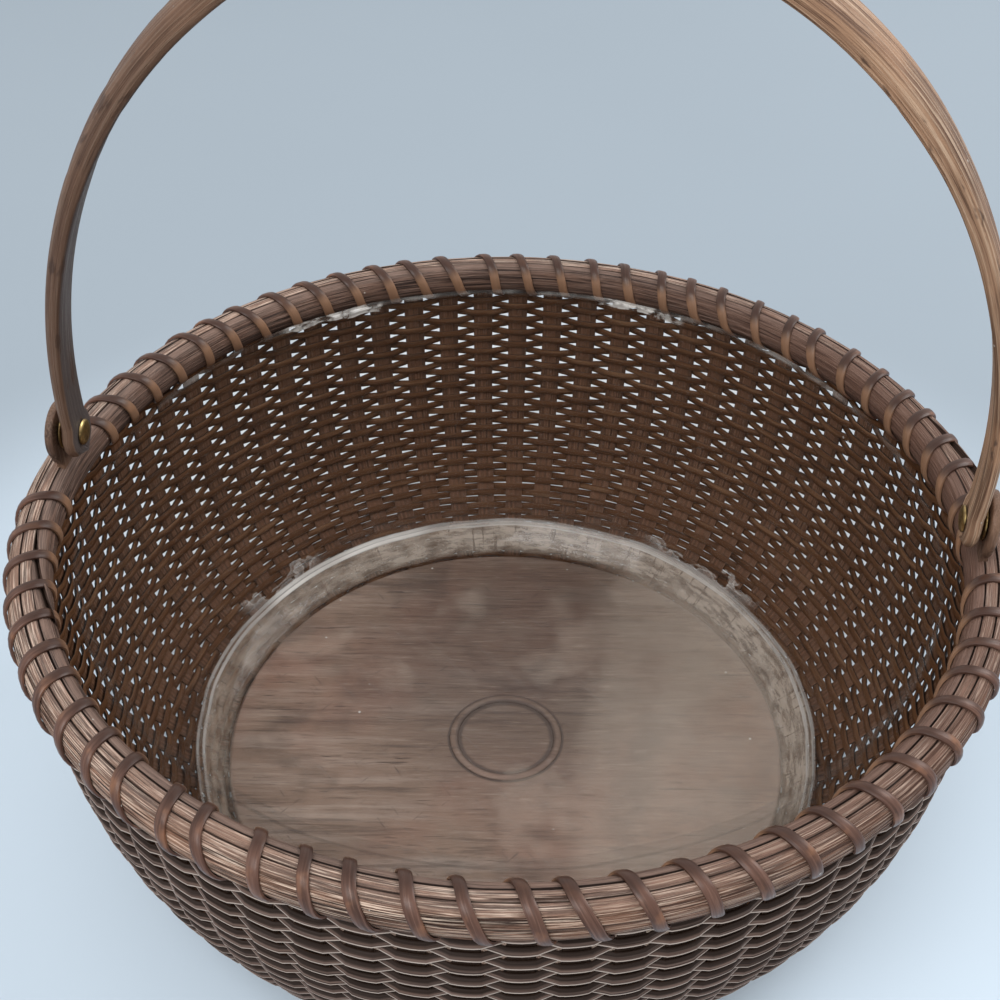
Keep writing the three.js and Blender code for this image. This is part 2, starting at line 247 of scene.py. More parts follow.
def straight_bar(section: Section, length: float, steps: int) -> bmesh.types.BMesh:
    """Lays a closed section along X as a straight bar with closed ends.

    Args:
        section: (across, through) corners in Y and Z, in order.
        length: length of the bar.
        steps: rings of faces along it.

    Returns:
        The bar, with its faces pointing out.
    """
    corners = len(section)
    bm = bmesh.new()
    bmesh.ops.create_grid(bm, x_segments=steps, y_segments=corners, size=0.5)
    for vert in bm.verts:
        across, through = section[round((vert.co.y + 0.5) * corners) % corners]
        vert.co = ((vert.co.x + 0.5) * length, across, through)
    bmesh.ops.remove_doubles(bm, verts=bm.verts, dist=0.0001 * MM)
    open_edges = [edge for edge in bm.edges if edge.is_boundary]
    bmesh.ops.holes_fill(bm, edges=open_edges, sides=0)
    bmesh.ops.recalc_face_normals(bm, faces=bm.faces)
    return bm


def bend(
    piece: bpy.types.Object, lay: Callable[[Array], Array], breadth: float = 1.0, depth: float = 1.0
) -> bpy.types.Object:
    """Lays a straight strip along its path and keeps its straight places in the attribute RUN.

    Args:
        piece: the straight strip.
        lay: turns straight places into places in the frame.
        breadth: real width of a strip whose section is drawn 1 wide.
        depth: real thickness of a strip whose section is drawn 1 thick.

    Returns:
        The same piece.
    """
    mesh = piece.data
    straight = np.empty(len(mesh.vertices) * 3)
    mesh.vertices.foreach_get("co", straight)
    run = mesh.attributes.new(RUN, "FLOAT_VECTOR", "POINT")
    real = straight.reshape(-1, 3) * (1.0, breadth, depth)
    run.data.foreach_set("vector", real.astype(np.float32).ravel())
    laid = lay(straight.reshape(-1, 3))
    mesh.vertices.foreach_set("co", laid.astype(np.float32).ravel())
    mesh.update()
    return piece


def nearest_corner(section: Section, across: Array, through: Array) -> Array:
    """Finds the corner of a section that each point of a straight bar lies on.

    Args:
        section: the bar's section.
        across: place of each point across the bar.
        through: its place through the bar.

    Returns:
        The corners' numbers.
    """
    corners = np.array(section)
    away = np.hypot(across[:, None] - corners[:, 0], through[:, None] - corners[:, 1])
    return np.argmin(away, axis=1)


def spun(profile: Section, segments: int) -> bmesh.types.BMesh:
    """Turns a profile about Z, which starts and ends on the axis or closes on itself.

    Args:
        profile: (radius, height) of its points, from the underside outwards and up.
        segments: steps round the axis.

    Returns:
        The closed turned shape.
    """
    bm = bmesh.new()
    verts = [bm.verts.new((radius, 0.0, height)) for radius, height in profile]
    pairs = list(zip(verts, verts[1:]))
    if profile[0][0] > 0.0:
        pairs.append((verts[-1], verts[0]))
    edges = [bm.edges.new(pair) for pair in pairs]
    bmesh.ops.spin(
        bm,
        geom=verts + edges,
        cent=(0.0, 0.0, 0.0),
        axis=(0.0, 0.0, 1.0),
        dvec=(0.0, 0.0, 0.0),
        angle=math.tau,
        steps=segments,
        use_merge=True,
        use_duplicate=False,
    )
    bmesh.ops.remove_doubles(bm, verts=bm.verts, dist=0.001 * MM)
    bmesh.ops.recalc_face_normals(bm, faces=bm.faces)
    return bm


def arc(centre: Pair, radii: Pair, first: float, last: float, steps: int) -> list[Pair]:
    """Returns points of an elliptic arc, its angles in degrees."""
    angles = np.radians(np.linspace(first, last, steps + 1))
    return [(centre[0] + radii[0] * math.cos(a), centre[1] + radii[1] * math.sin(a)) for a in angles]


def dress(
    piece: bpy.types.Object, body: Body, slot: Slot, material: bpy.types.Material, *nodes: str
) -> None:
    """Gives a piece its finish and its place in the frame, and reports it.

    Args:
        piece: the finished piece.
        body: the body that it rides on.
        slot: the record's slot of its finish; not used.
        material: its material.
        nodes: the frame's nodes that it stands for.
    """
    piece.data.materials.clear()
    piece.data.materials.append(material)
    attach(piece, body.value)
    if nodes:
        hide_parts(*nodes)
    log.info("%s: %d faces, on %s", piece.name, len(piece.data.polygons), body.value)


# Shader tools


class Sheet:
    """Adds shader nodes to one tree and joins them."""

    def __init__(self, tree: bpy.types.NodeTree) -> None:
        """Starts on a tree."""
        self.tree = tree

    def node(self, kind: str, inputs: dict | None = None, **settings) -> bpy.types.Node:
        """Adds a node.

        Args:
            kind: its type, without the ShaderNode that starts it.
            inputs: a socket to link or a value to set, for each input's name or number.
            settings: the node's own properties.

        Returns:
            The node.
        """
        made = self.tree.nodes.new("ShaderNode" + kind)
        for name, value in settings.items():
            setattr(made, name, value)
        for key, value in (inputs or {}).items():
            if isinstance(value, Socket):
                self.tree.links.new(value, made.inputs[key])
            else:
                made.inputs[key].default_value = value
        return made

    def maths(self, operation: str, first: Value, second: Value = 0.0, clamp: bool = False) -> Socket:
        """Returns the result of a Math node."""
        return self.node("Math", {0: first, 1: second}, operation=operation, use_clamp=clamp).outputs[0]

    def times(self, first: Value, second: Value) -> Socket:
        """Returns the product of two values."""
        return self.maths("MULTIPLY", first, second)

    def minus(self, first: Value, second: Value) -> Socket:
        """Returns the first value less the second."""
        return self.maths("SUBTRACT", first, second)

    def most(self, first: Value, second: Value) -> Socket:
        """Returns the larger of two values."""
        return self.maths("MAXIMUM", first, second)

    def size(self, value: Value) -> Socket:
        """Returns a value without its sign."""
        return self.maths("ABSOLUTE", value)

    def span(
        self, value: Value, low: Value, high: Value, to_low: float = 0.0, to_high: float = 1.0
    ) -> Socket:
        """Runs smoothly from one value to another as the given value runs between two limits.

        Args:
            value: the given value.
            low: its limit at the start of the run.
            high: its limit at the end of the run.
            to_low: what comes out at the start.
            to_high: what comes out at the end.

        Returns:
            The run.
        """
        sides = {"From Min": low, "From Max": high, "To Min": to_low, "To Max": to_high}
        limits = {"Value": value, **sides}
        return self.node("MapRange", limits, interpolation_type="SMOOTHSTEP").outputs["Result"]

    def mix(self, first: Socket | Colour, second: Socket | Colour, factor: Value) -> Socket:
        """Mixes two colours, each a socket or three plain numbers.

        Args:
            first: the colour where the factor is 0.
            second: the colour where it is 1.
            factor: share of the second colour.

        Returns:
            The mixed colour.
        """
        sides = [side if isinstance(side, Socket) else (*side, 1.0) for side in (first, second)]
        inputs = {0: factor, 6: sides[0], 7: sides[1]}
        return self.node("Mix", inputs, data_type="RGBA").outputs[2]

    def run(self) -> Socket:
        """Returns the place on the straight strip."""
        return self.node("Attribute", attribute_name=RUN, attribute_type="GEOMETRY").outputs["Vector"]

    def apart(self, vector: Socket) -> bpy.types.NodeOutputs:
        """Returns the three parts of a vector."""
        return self.node("SeparateXYZ", {0: vector}).outputs

    def effect(self, tree: bpy.types.NodeTree, **inputs) -> Socket:
        """Places a shared effect.

        Args:
            tree: the effect's node group.
            inputs: a socket to link or a value to set, for each input's name in small letters.

        Returns:
            What the effect puts out.
        """
        made = self.tree.nodes.new("ShaderNodeGroup")
        made.node_tree = tree
        for name, value in inputs.items():
            socket = made.inputs[name.replace("_", " ").title()]
            if isinstance(value, Socket):
                self.tree.links.new(value, socket)
            else:
                socket.default_value = value
        return made.outputs[0]


class Effects:
    """Shared effects, each a node group that is built once."""

    @staticmethod
    def _start(
        name: str, sockets: Sequence[str], output: str
    ) -> tuple[Sheet, Node | None, Node | None, bool]:
        """Starts a group, or finds it.

        Args:
            name: the group's name.
            sockets: its inputs; Vector is a vector and the others are numbers.
            output: its one output, a number.

        Returns:
            The sheet, the nodes that give the inputs and take the output (none where the group is
            found), and whether the group is new.
        """
        found = bpy.data.node_groups.get(name)
        if found:
            return Sheet(found), None, None, False
        tree = bpy.data.node_groups.new(name, "ShaderNodeTree")
        for socket in sockets:
            kind = "NodeSocketVector" if socket == "Vector" else "NodeSocketFloat"
            tree.interface.new_socket(name=socket, in_out="INPUT", socket_type=kind)
        tree.interface.new_socket(name=output, in_out="OUTPUT", socket_type="NodeSocketFloat")
        return Sheet(tree), tree.nodes.new("NodeGroupInput"), tree.nodes.new("NodeGroupOutput"), True

    @classmethod
    def fibres(cls) -> bpy.types.NodeTree:
        """Long fibres along X.

        Returns:
            The group, which puts out 0 between the fibres and 1 on them.
        """
        sockets = ("Vector", "Length", "Breadth", "Contrast")
        sheet, given, taken, new = cls._start("fibres", sockets, "Fibre")
        if new:
            along = sheet.maths("DIVIDE", 1.0, given.outputs["Length"])
            across = sheet.maths("DIVIDE", 1.0, given.outputs["Breadth"])
            scale = sheet.node("CombineXYZ", {0: along, 1: across, 2: across}).outputs[0]
            sides = {0: given.outputs["Vector"], 1: scale}
            vector = sheet.node("VectorMath", sides, operation="MULTIPLY").outputs[0]
            inputs = {"Vector": vector, "Scale": 1.0, "Detail": 4.0, "Roughness": 0.62}
            noise = sheet.node("TexNoise", inputs)
            centred = sheet.minus(noise.outputs["Fac"], 0.5)
            wide = sheet.times(centred, given.outputs["Contrast"])
            sheet.tree.links.new(sheet.maths("ADD", wide, 0.5, clamp=True), taken.inputs[0])
        return sheet.tree

    @classmethod
    def patches(cls) -> bpy.types.NodeTree:
        """Soft-edged patches that cover a share of the surface.

        Returns:
            The group, which puts out 0 beside the patches and 1 on them.
        """
        sheet, given, taken, new = cls._start("patches", ("Vector", "Size", "Cover", "Blur"), "Patch")
        if new:
            scale = sheet.maths("DIVIDE", 1.0, given.outputs["Size"])
            vector = given.outputs["Vector"]
            inputs = {"Vector": vector, "Scale": scale, "Detail": 3.0, "Roughness": 0.55}
            noise = sheet.node("TexNoise", inputs).outputs["Fac"]
            edge = sheet.minus(1.0, given.outputs["Cover"])
            low = sheet.minus(edge, given.outputs["Blur"])
            high = sheet.maths("ADD", edge, given.outputs["Blur"])
            limits = {"Value": noise, "From Min": low, "From Max": high}
            mask = sheet.node("MapRange", limits, interpolation_type="SMOOTHSTEP").outputs["Result"]
            sheet.tree.links.new(mask, taken.inputs[0])
        return sheet.tree

    @classmethod
    def specks(cls) -> bpy.types.NodeTree:
        """Small scattered specks of dust or wear.

        Returns:
            The group, which puts out 0 beside the specks and 1 on them.
        """
        sheet, given, taken, new = cls._start("specks", ("Vector", "Spacing", "Size", "Cover"), "Speck")
        if new:
            scale = sheet.maths("DIVIDE", 1.0, given.outputs["Spacing"])
            cells = sheet.node("TexVoronoi", {"Vector": given.outputs["Vector"], "Scale": scale})
            share = sheet.maths("DIVIDE", given.outputs["Size"], given.outputs["Spacing"])
            near = sheet.maths("LESS_THAN", cells.outputs["Distance"], share)
            chance = sheet.node("SeparateColor", {0: cells.outputs["Color"]}).outputs[0]
            kept = sheet.maths("LESS_THAN", chance, given.outputs["Cover"])
            sheet.tree.links.new(sheet.times(near, kept), taken.inputs[0])
        return sheet.tree


def new_material(name: str) -> tuple[bpy.types.Material, Sheet, bpy.types.Node]:
    """Starts a material.

    Args:
        name: the material's name.

    Returns:
        The material, its sheet and its surface shader.
    """
    material = bpy.data.materials.new(name)
    material.use_nodes = True
    return material, Sheet(material.node_tree), material.node_tree.nodes["Principled BSDF"]


# Patterns and finishes


@dataclass(frozen=True)
class Fibres:
    """Long fibres along X, 0 between them and 1 on them: a fibre's sizes and how clearly it shows."""

    length: float
    breadth: float
    contrast: float

    def on(self, sheet: Sheet, vector: Socket) -> Socket:
        """Returns the fibres along a vector."""
        sizes = {"length": self.length, "breadth": self.breadth, "contrast": self.contrast}
        return sheet.effect(Effects.fibres(), vector=vector, **sizes)


@dataclass(frozen=True)
class Patches:
    """Soft-edged patches: their size, the share of the surface that they cover, and their blur."""

    size: float
    cover: float
    blur: float

    def on(self, sheet: Sheet, vector: Socket) -> Socket:
        """Returns the patches over a vector."""
        sizes = {"size": self.size, "cover": self.cover, "blur": self.blur}
        return sheet.effect(Effects.patches(), vector=vector, **sizes)


@dataclass(frozen=True)
class Specks:
    """Small scattered specks: their spacing, their size, and the share of them that shows."""

    spacing: float
    size: float
    cover: float

    def on(self, sheet: Sheet, vector: Socket) -> Socket:
        """Returns the specks over a vector."""
        sizes = {"spacing": self.spacing, "size": self.size, "cover": self.cover}
        return sheet.effect(Effects.specks(), vector=vector, **sizes)


@dataclass(frozen=True)
class Wood:
    """A wood or cane whose fibres follow the piece."""

    name: str
    deep: Colour
    body: Colour
    pale: Colour
    worn: Colour
    fibre_length: float = 28 * MM
    fibre_breadth: float = 0.55 * MM
    fibre_contrast: float = 2.6
    broad_length_share: float = 2.6
    broad_breadth_share: float = 3.4
    broad_contrast_share: float = 0.7
    broad_relief_share: float = 0.6
    worn_size: float = 22 * MM
    worn_cover: float = 0.40
    worn_blur: float = 0.12
    worn_strength: float = 0.6
    roughness: Pair = (0.45, 0.75)
    relief: float = 0.25 * MM
    speck_spacing: float = 2.4 * MM
    speck_size: float = 0.32 * MM
    speck_cover: float = 0.05
    speck_colour: Colour = (0.62, 0.58, 0.53)
    gloss: float = 0.3

    def tone(self, sheet: Sheet, colour: Socket) -> Socket:
        """Returns the colour with what only one kind of piece has; plain wood has nothing more."""
        return colour

    def material(self) -> bpy.types.Material:
        """Builds the material.

        Returns:
            The material, with the kind's own tone laid over the plain wood.
        """
        material, sheet, shader = new_material(self.name)
        run = sheet.run()
        fine = Fibres(self.fibre_length, self.fibre_breadth, self.fibre_contrast).on(sheet, run)
        broad = Fibres(
            self.broad_length_share * self.fibre_length,
            self.broad_breadth_share * self.fibre_breadth,
            self.broad_contrast_share * self.fibre_contrast,
        ).on(sheet, run)
        colour = sheet.mix(self.deep, self.body, sheet.span(broad, 0.05, 0.75))
        colour = sheet.mix(colour, self.pale, sheet.times(sheet.span(fine, 0.45, 1.0), 0.7))
        colour = sheet.mix(colour, self.deep, sheet.span(fine, 0.38, 0.08, 0.0, 0.85))
        patch = Patches(self.worn_size, self.worn_cover, self.worn_blur).on(sheet, run)
        colour = sheet.mix(colour, self.worn, sheet.times(patch, self.worn_strength))
        speck = Specks(self.speck_spacing, self.speck_size, self.speck_cover).on(sheet, run)
        colour = sheet.mix(colour, self.speck_colour, sheet.times(speck, 0.8))
        sheet.tree.links.new(self.tone(sheet, colour), shader.inputs["Base Color"])
        shader.inputs["Specular IOR Level"].default_value = self.gloss
        rough = sheet.span(fine, 0.1, 0.9, self.roughness[1], self.roughness[0])
        sheet.tree.links.new(rough, shader.inputs["Roughness"])
        height = sheet.maths("ADD", fine, sheet.times(broad, self.broad_relief_share))
        bump = sheet.node("Bump", {"Height": height, "Distance": self.relief, "Strength": 0.8})
        sheet.tree.links.new(bump.outputs["Normal"], shader.inputs["Normal"])
        return material


@dataclass(frozen=True)
class WovenCane(Wood):
    """Cane with a brown inner side, painted shade over the upper half of its outer side, and a pale lower
    edge that is partly wear and partly painted highlight.
    """

    inside: Colour = (0.106, 0.046, 0.020)
    inside_pale: Colour = (0.180, 0.092, 0.047)
    # Pale lower edge: partly wear, partly painted highlight.
    edge: Colour = (0.66, 0.58, 0.53)
    half_width: float = 1.1 * MM
    # Painted shade over the outer side's upper half grows to full within this share of its half width.
    shade_share: float = 0.65
    edge_shares: Pair = (-0.28, -0.50)
    edge_depths: Pair = (0.1 * MM, 0.4 * MM)
    side_depths: Pair = (-0.46 * MM, -0.34 * MM)
    streaks: Fibres = Fibres(22 * MM, 1.6 * MM, 2.6)

    def tone(self, sheet: Sheet, colour: Socket) -> Socket:
        """Browns the inner side, paints shade over the outer side's upper half, and whitens its lower
        edge as wear and painted highlight.

        Args:
            sheet: the material's sheet.
            colour: the plain cane's colour.

        Returns:
            The colour.
        """
        run = sheet.run()
        place = sheet.apart(run)
        streak = self.streaks.on(sheet, run)
        inner = sheet.mix(self.inside, self.inside_pale, sheet.span(streak, 0.45, 1.0))
        inner = sheet.mix(inner, self.deep, sheet.span(streak, 0.35, 0.0, 0.0, 0.6))
        # Painted shade: the upper half of the outer side, tucked under the row above, goes dark.
        high = sheet.span(place[1], 0.0, self.shade_share * self.half_width, 0.0, 0.92)
        outer = sheet.mix(colour, self.deep, high)
        # Partly wear, partly painted highlight: the pale lower edge of the outer side.
        start, full = self.edge_shares
        low = sheet.span(place[1], start * self.half_width, full * self.half_width)
        edge = sheet.times(low, sheet.span(place[2], *self.edge_depths, 0.0, 0.9))
        outer = sheet.mix(outer, self.edge, edge)
        return sheet.mix(inner, outer, sheet.span(place[2], *self.side_depths))


@dataclass(frozen=True)
class StaveWood(Wood):
    """Wood of the staves: brown inside, where the light reaches it, with painted shade on its outer side,
    behind the cane.
    """

    # Painted shade on the outer side, behind the cane.
    outside: Colour = (0.030, 0.018, 0.013)
    side_depths: Pair = (-0.2 * MM, 0.2 * MM)

    def tone(self, sheet: Sheet, colour: Socket) -> Socket:
        """Paints shade over the outer side, behind the cane."""
        painted_shade = sheet.span(sheet.apart(sheet.run())[2], *self.side_depths)
        return sheet.mix(colour, self.outside, painted_shade)


@dataclass(frozen=True)
class HoopWood(Wood):
    """Wood of the hoops, with long cracks, greyer on top, dark at the seams, and painted shade underneath
    and towards the basket's right.
    """

    top: Colour = (0.42, 0.30, 0.25)
    top_heights: Pair = (3.4 * MM, 4.8 * MM)
    top_share: float = 0.35
    # Painted shade under the hoop.
    foot_shade_heights: Pair = (-0.6 * MM, -4.6 * MM)
    foot_shade: float = 0.72
    seam: float = 1.62 * MM
    seam_breadths: Pair = (0.45 * MM, 0.15 * MM)
    seam_heights: Pair = (2.5 * MM, 3.2 * MM)
    seam_strength: float = 0.85
    cracks: Fibres = Fibres(45 * MM, 0.8 * MM, 2.8)
    # Painted shade, darker towards the basket's right.
    right_shade: Colour = (0.150, 0.072, 0.048)
    right_shade_reach: Pair = (0.0, 110 * MM)
    right_shade_strength: float = 0.55

    def tone(self, sheet: Sheet, colour: Socket) -> Socket:
        """Greys the top, draws the cracks, darkens the seams, and paints shade on the right and on the
        underside.

        Args:
            sheet: the material's sheet.
            colour: the plain wood's colour.

        Returns:
            The colour.
        """
        run = sheet.run()
        place = sheet.apart(run)
        up = place[1]
        colour = sheet.mix(colour, self.top, sheet.span(up, *self.top_heights, 0.0, self.top_share))
        crack = self.cracks.on(sheet, run)
        colour = sheet.mix(colour, self.deep, sheet.span(crack, 0.27, 0.12, 0.0, 0.9))
        # Painted shade: darker towards the basket's right.
        right = sheet.apart(sheet.node("TexCoord").outputs["Object"])[0]
        right_shade = sheet.span(right, *self.right_shade_reach, 0.0, self.right_shade_strength)
        colour = sheet.mix(colour, self.right_shade, right_shade)
        off = sheet.size(sheet.minus(sheet.size(place[2]), self.seam))
        line = sheet.span(off, *self.seam_breadths, 0.0, self.seam_strength)
        seam = sheet.times(line, sheet.span(up, *self.seam_heights))
        # Painted shade under the hoop.
        foot = sheet.span(up, *self.foot_shade_heights, 0.0, self.foot_shade)
        return sheet.mix(colour, self.deep, sheet.most(seam, foot))


@dataclass(frozen=True)
class HandleWood(Wood):
    """Wood of the handle, with dark bark scars, browner on its left side, with painted shade on its flat
    inner face there.
    """

    bark: Colour = (0.075, 0.042, 0.030)
    brown: Colour = (0.105, 0.058, 0.041)
    brown_reach: Pair = (10 * MM, -80 * MM)
    brown_strength: float = 0.80
    # Painted shade on the flat inner face, on the left.
    inner_shade: Colour = (0.078, 0.074, 0.078)
    inner_shade_depths: Pair = (-2.2 * MM, -2.6 * MM)
    inner_shade_reach: Pair = (0.0, -60 * MM)
    inner_shade_strength: float = 0.8
    scars: Patches = Patches(3.2 * MM, 0.34, 0.04)
    scar_stretch: Place = (0.3, 1.0, 1.0)
    scar_strength: float = 0.75

    def tone(self, sheet: Sheet, colour: Socket) -> Socket:
        """Browns the left side, paints dark grey shade on its flat inner face there, and adds the scars.

        Args:
            sheet: the material's sheet.
            colour: the plain wood's colour.

        Returns:
            The colour.
        """
        left = sheet.apart(sheet.node("TexCoord").outputs["Object"])[0]
        brown = sheet.span(left, *self.brown_reach, 0.0, self.brown_strength)
        colour = sheet.mix(colour, self.brown, brown)
        run = sheet.run()
        # Painted shade: the flat inner face, on the left, goes dark grey.
        inner = sheet.span(sheet.apart(run)[2], *self.inner_shade_depths)
        inner = sheet.times(inner, sheet.span(left, *self.inner_shade_reach, 0.0, self.inner_shade_strength))
        colour = sheet.mix(colour, self.inner_shade, inner)
        sides = {0: run, 1: self.scar_stretch}
        stretched = sheet.node("VectorMath", sides, operation="MULTIPLY").outputs[0]
        scar = self.scars.on(sheet, stretched)
        return sheet.mix(colour, self.bark, sheet.times(scar, self.scar_strength))


@dataclass(frozen=True)
class Strand(Wood):
    """Cane of the lashing: a painted tan highlight inside the rim, and darkened by hands over its top.

    The shares are of one turn, which starts under the rim and climbs its inner side.
    """

    turn_length: float = math.tau * BUNDLE_HALF
    top_share: float = 0.44
    hump_share: float = 0.14
    inner_share: float = 0.26
    inner_reach_share: float = 0.17
    full_share: float = 0.3
    # Painted highlight on the inner side.
    inner: Colour = (0.34, 0.195, 0.115)
    inner_highlight_strength: float = 0.6
    top_strength: float = 0.75

    def tone(self, sheet: Sheet, colour: Socket) -> Socket:
        """Darkens the strand on the rim's top and paints a tan highlight on the inner side, turn after
        turn.

        Args:
            sheet: the material's sheet.
            colour: the plain cane's colour.

        Returns:
            The colour.
        """
        turns = sheet.maths("DIVIDE", sheet.apart(sheet.run())[0], self.turn_length)
        share = sheet.maths("FRACT", turns)
        inside = sheet.size(sheet.minus(share, self.inner_share))
        reach = self.inner_reach_share
        # Painted highlight: tan on the rim's inner side of each turn.
        inner_highlight = sheet.span(inside, reach, self.full_share * reach, 0.0, self.inner_highlight_strength)
        colour = sheet.mix(colour, self.inner, inner_highlight)
        off = sheet.size(sheet.minus(share, self.top_share))
        hump = self.hump_share
        top = sheet.span(off, hump, self.full_share * hump, 0.0, self.top_strength)
        return sheet.mix(colour, self.deep, top)


@dataclass(frozen=True)
class BoardWood:
    """Planed wood with straight figure, dark stains, fine cracks and painted shade over its middle and
    back, its grain from side to side.
    """

    ring_radius: float
    name: str = "board_wood"
    body: Colour = (0.325, 0.218, 0.160)
    pale: Colour = (0.500, 0.385, 0.315)
    deep: Colour = (0.070, 0.046, 0.038)
    rosy: Colour = (0.340, 0.180, 0.128)
    grain_turn: float = math.radians(-8.0)
    fine: Fibres = Fibres(9 * MM, 0.8 * MM, 2.4)
    band: Fibres = Fibres(38 * MM, 2.6 * MM, 2.4)
    broad: Fibres = Fibres(80 * MM, 7.0 * MM, 2.4)
    cracks: Fibres = Fibres(20 * MM, 1.1 * MM, 2.6)
    scratch: Fibres = Fibres(11 * MM, 0.9 * MM, 2.6)
    scratch_turns: Pair = (0.85, 2.2)
    rosy_patches: Patches = Patches(45 * MM, 0.48, 0.12)
    stains: Patches = Patches(26 * MM, 0.36, 0.10)
    mottle: Patches = Patches(9 * MM, 0.5, 0.25)
    # Painted shade over the middle and back: its middle, its reach and its strength.
    middle_place: Place = (4 * MM, 34 * MM, 0.0)
    middle_reach: Pair = (84 * MM, 26 * MM)
    middle_strength: float = 0.62
    dirt_half: float = 1.5 * MM
    outer_dirt: Pair = (0.6 * MM, 0.15 * MM)
    inner_dirt: Pair = (1.5 * MM, 0.3 * MM)
    relief: float = 0.18 * MM

    def material(self) -> bpy.types.Material:
        """Builds the material.

        Returns:
            The material.
        """
        material, sheet, shader = new_material(self.name)
        place = sheet.node("TexCoord").outputs["Object"]
        turned = {"Vector": place, "Rotation": (0.0, 0.0, self.grain_turn)}
        grain = sheet.node("Mapping", turned).outputs[0]
        fine = self.fine.on(sheet, grain)
        band = self.band.on(sheet, grain)
        broad = self.broad.on(sheet, grain)
        crack = self.cracks.on(sheet, grain)
        colour = sheet.mix(self.body, self.pale, sheet.span(broad, 0.30, 0.95, 0.0, 0.75))
        colour = sheet.mix(colour, self.pale, sheet.span(band, 0.55, 1.0, 0.0, 0.60))
        colour = sheet.mix(colour, self.deep, sheet.span(band, 0.44, 0.10, 0.0, 0.50))
        colour = sheet.mix(colour, self.rosy, sheet.times(self.rosy_patches.on(sheet, grain), 0.6))
        colour = sheet.mix(colour, self.deep, sheet.times(self.stains.on(sheet, grain), 0.50))
        # Painted shade over the middle and back of the board.
        colour = sheet.mix(colour, self.deep, self.painted_back_shade(sheet, place))
        colour = sheet.mix(colour, self.deep, sheet.times(self.mottle.on(sheet, place), 0.22))
        colour = sheet.mix(colour, self.deep, sheet.span(fine, 0.36, 0.04, 0.0, 0.40))
        colour = sheet.mix(colour, self.pale, sheet.span(fine, 0.66, 1.0, 0.0, 0.28))
        colour = sheet.mix(colour, self.deep, sheet.span(crack, 0.12, 0.04, 0.0, 0.8))
        colour = sheet.mix(colour, self.deep, self.scratches(sheet, place))
        colour = sheet.mix(colour, self.deep, self.ring_dirt(sheet, place))
        sheet.tree.links.new(colour, shader.inputs["Base Color"])
        sheet.tree.links.new(sheet.span(fine, 0.0, 1.0, 0.7, 0.5), shader.inputs["Roughness"])
        height = sheet.maths("ADD", fine, sheet.span(crack, 0.12, 0.04, 0.0, -1.0))
        bump = sheet.node("Bump", {"Height": height, "Distance": self.relief, "Strength": 0.6})
        sheet.tree.links.new(bump.outputs["Normal"], shader.inputs["Normal"])
        return material

    def scratches(self, sheet: Sheet, place: Socket) -> Socket:
        """Draws a few short dark scratches across the grain, in two directions.

        Args:
            sheet: the material's sheet.
            place: the place on the board.

        Returns:
            The mask.
        """
        marks = []
        for turn in self.scratch_turns:
            turned = sheet.node("Mapping", {"Vector": place, "Rotation": (0.0, 0.0, turn)}).outputs[0]
            marks.append(sheet.span(self.scratch.on(sheet, turned), 0.07, 0.0, 0.0, 0.6))
        return sheet.most(*marks)

    @staticmethod
    def from_axis(sheet: Sheet, place: Socket, centre: Place = (0.0, 0.0, 0.0)) -> Socket:
        """Measures how far each point is from an upright line.

        Args:
            sheet: the material's sheet.
            place: the place on the board.
            centre: a point of the line.

        Returns:
            The distance.
        """
        moved = sheet.node("VectorMath", {0: place, 1: centre}, operation="SUBTRACT").outputs[0]
        flat = sheet.node("VectorMath", {0: moved, 1: LEVEL}, operation="MULTIPLY").outputs[0]
        return sheet.node("VectorMath", {0: flat}, operation="LENGTH").outputs["Value"]

    def painted_back_shade(self, sheet: Sheet, place: Socket) -> Socket:
        """Returns the broad painted shade over the board's middle and back."""
        away = self.from_axis(sheet, place, self.middle_place)
        return sheet.span(away, *self.middle_reach, 0.0, self.middle_strength)

    def ring_dirt(self, sheet: Sheet, place: Socket) -> Socket:
        """Lays dirt at both feet of the raised ring, more of it inside.

        Args:
            sheet: the material's sheet.
            place: the place on the board.

        Returns:
            The mask.
        """
        off = sheet.minus(self.from_axis(sheet, place), self.ring_radius)
        outer = sheet.size(sheet.minus(off, self.dirt_half))
        inner = sheet.size(sheet.maths("ADD", off, self.dirt_half))
        thin = sheet.span(outer, *self.outer_dirt, 0.0, 0.75)
        broad = sheet.span(inner, *self.inner_dirt, 0.0, 0.80)
        return sheet.most(thin, broad)


@dataclass(frozen=True)
class DulledBrass:
    """Brass that has gone brown but for its high spots."""

    name: str = "rivet_brass"
    bright: Colour = (0.55, 0.40, 0.17)
    dull: Colour = (0.20, 0.13, 0.06)
    dulled: Patches = Patches(2.5 * MM, 0.5, 0.15)
    marks: Fibres = Fibres(0.6 * MM, 0.4 * MM, 2.0)
    roughness: Pair = (0.28, 0.5)
    relief: float = 0.05 * MM

    def material(self) -> bpy.types.Material:
        """Builds the material.

        Returns:
            The material.
        """
        material, sheet, shader = new_material(self.name)
        place = sheet.node("TexCoord").outputs["Object"]
        patch = self.dulled.on(sheet, place)
        colour = sheet.mix(self.bright, self.dull, patch)
        sheet.tree.links.new(colour, shader.inputs["Base Color"])
        shader.inputs["Metallic"].default_value = 1.0
        rough = sheet.span(patch, 0.0, 1.0, *self.roughness)
        sheet.tree.links.new(rough, shader.inputs["Roughness"])
        height = self.marks.on(sheet, place)
        bump = sheet.node("Bump", {"Height": height, "Distance": self.relief, "Strength": 0.5})
        sheet.tree.links.new(bump.outputs["Normal"], shader.inputs["Normal"])
        return material


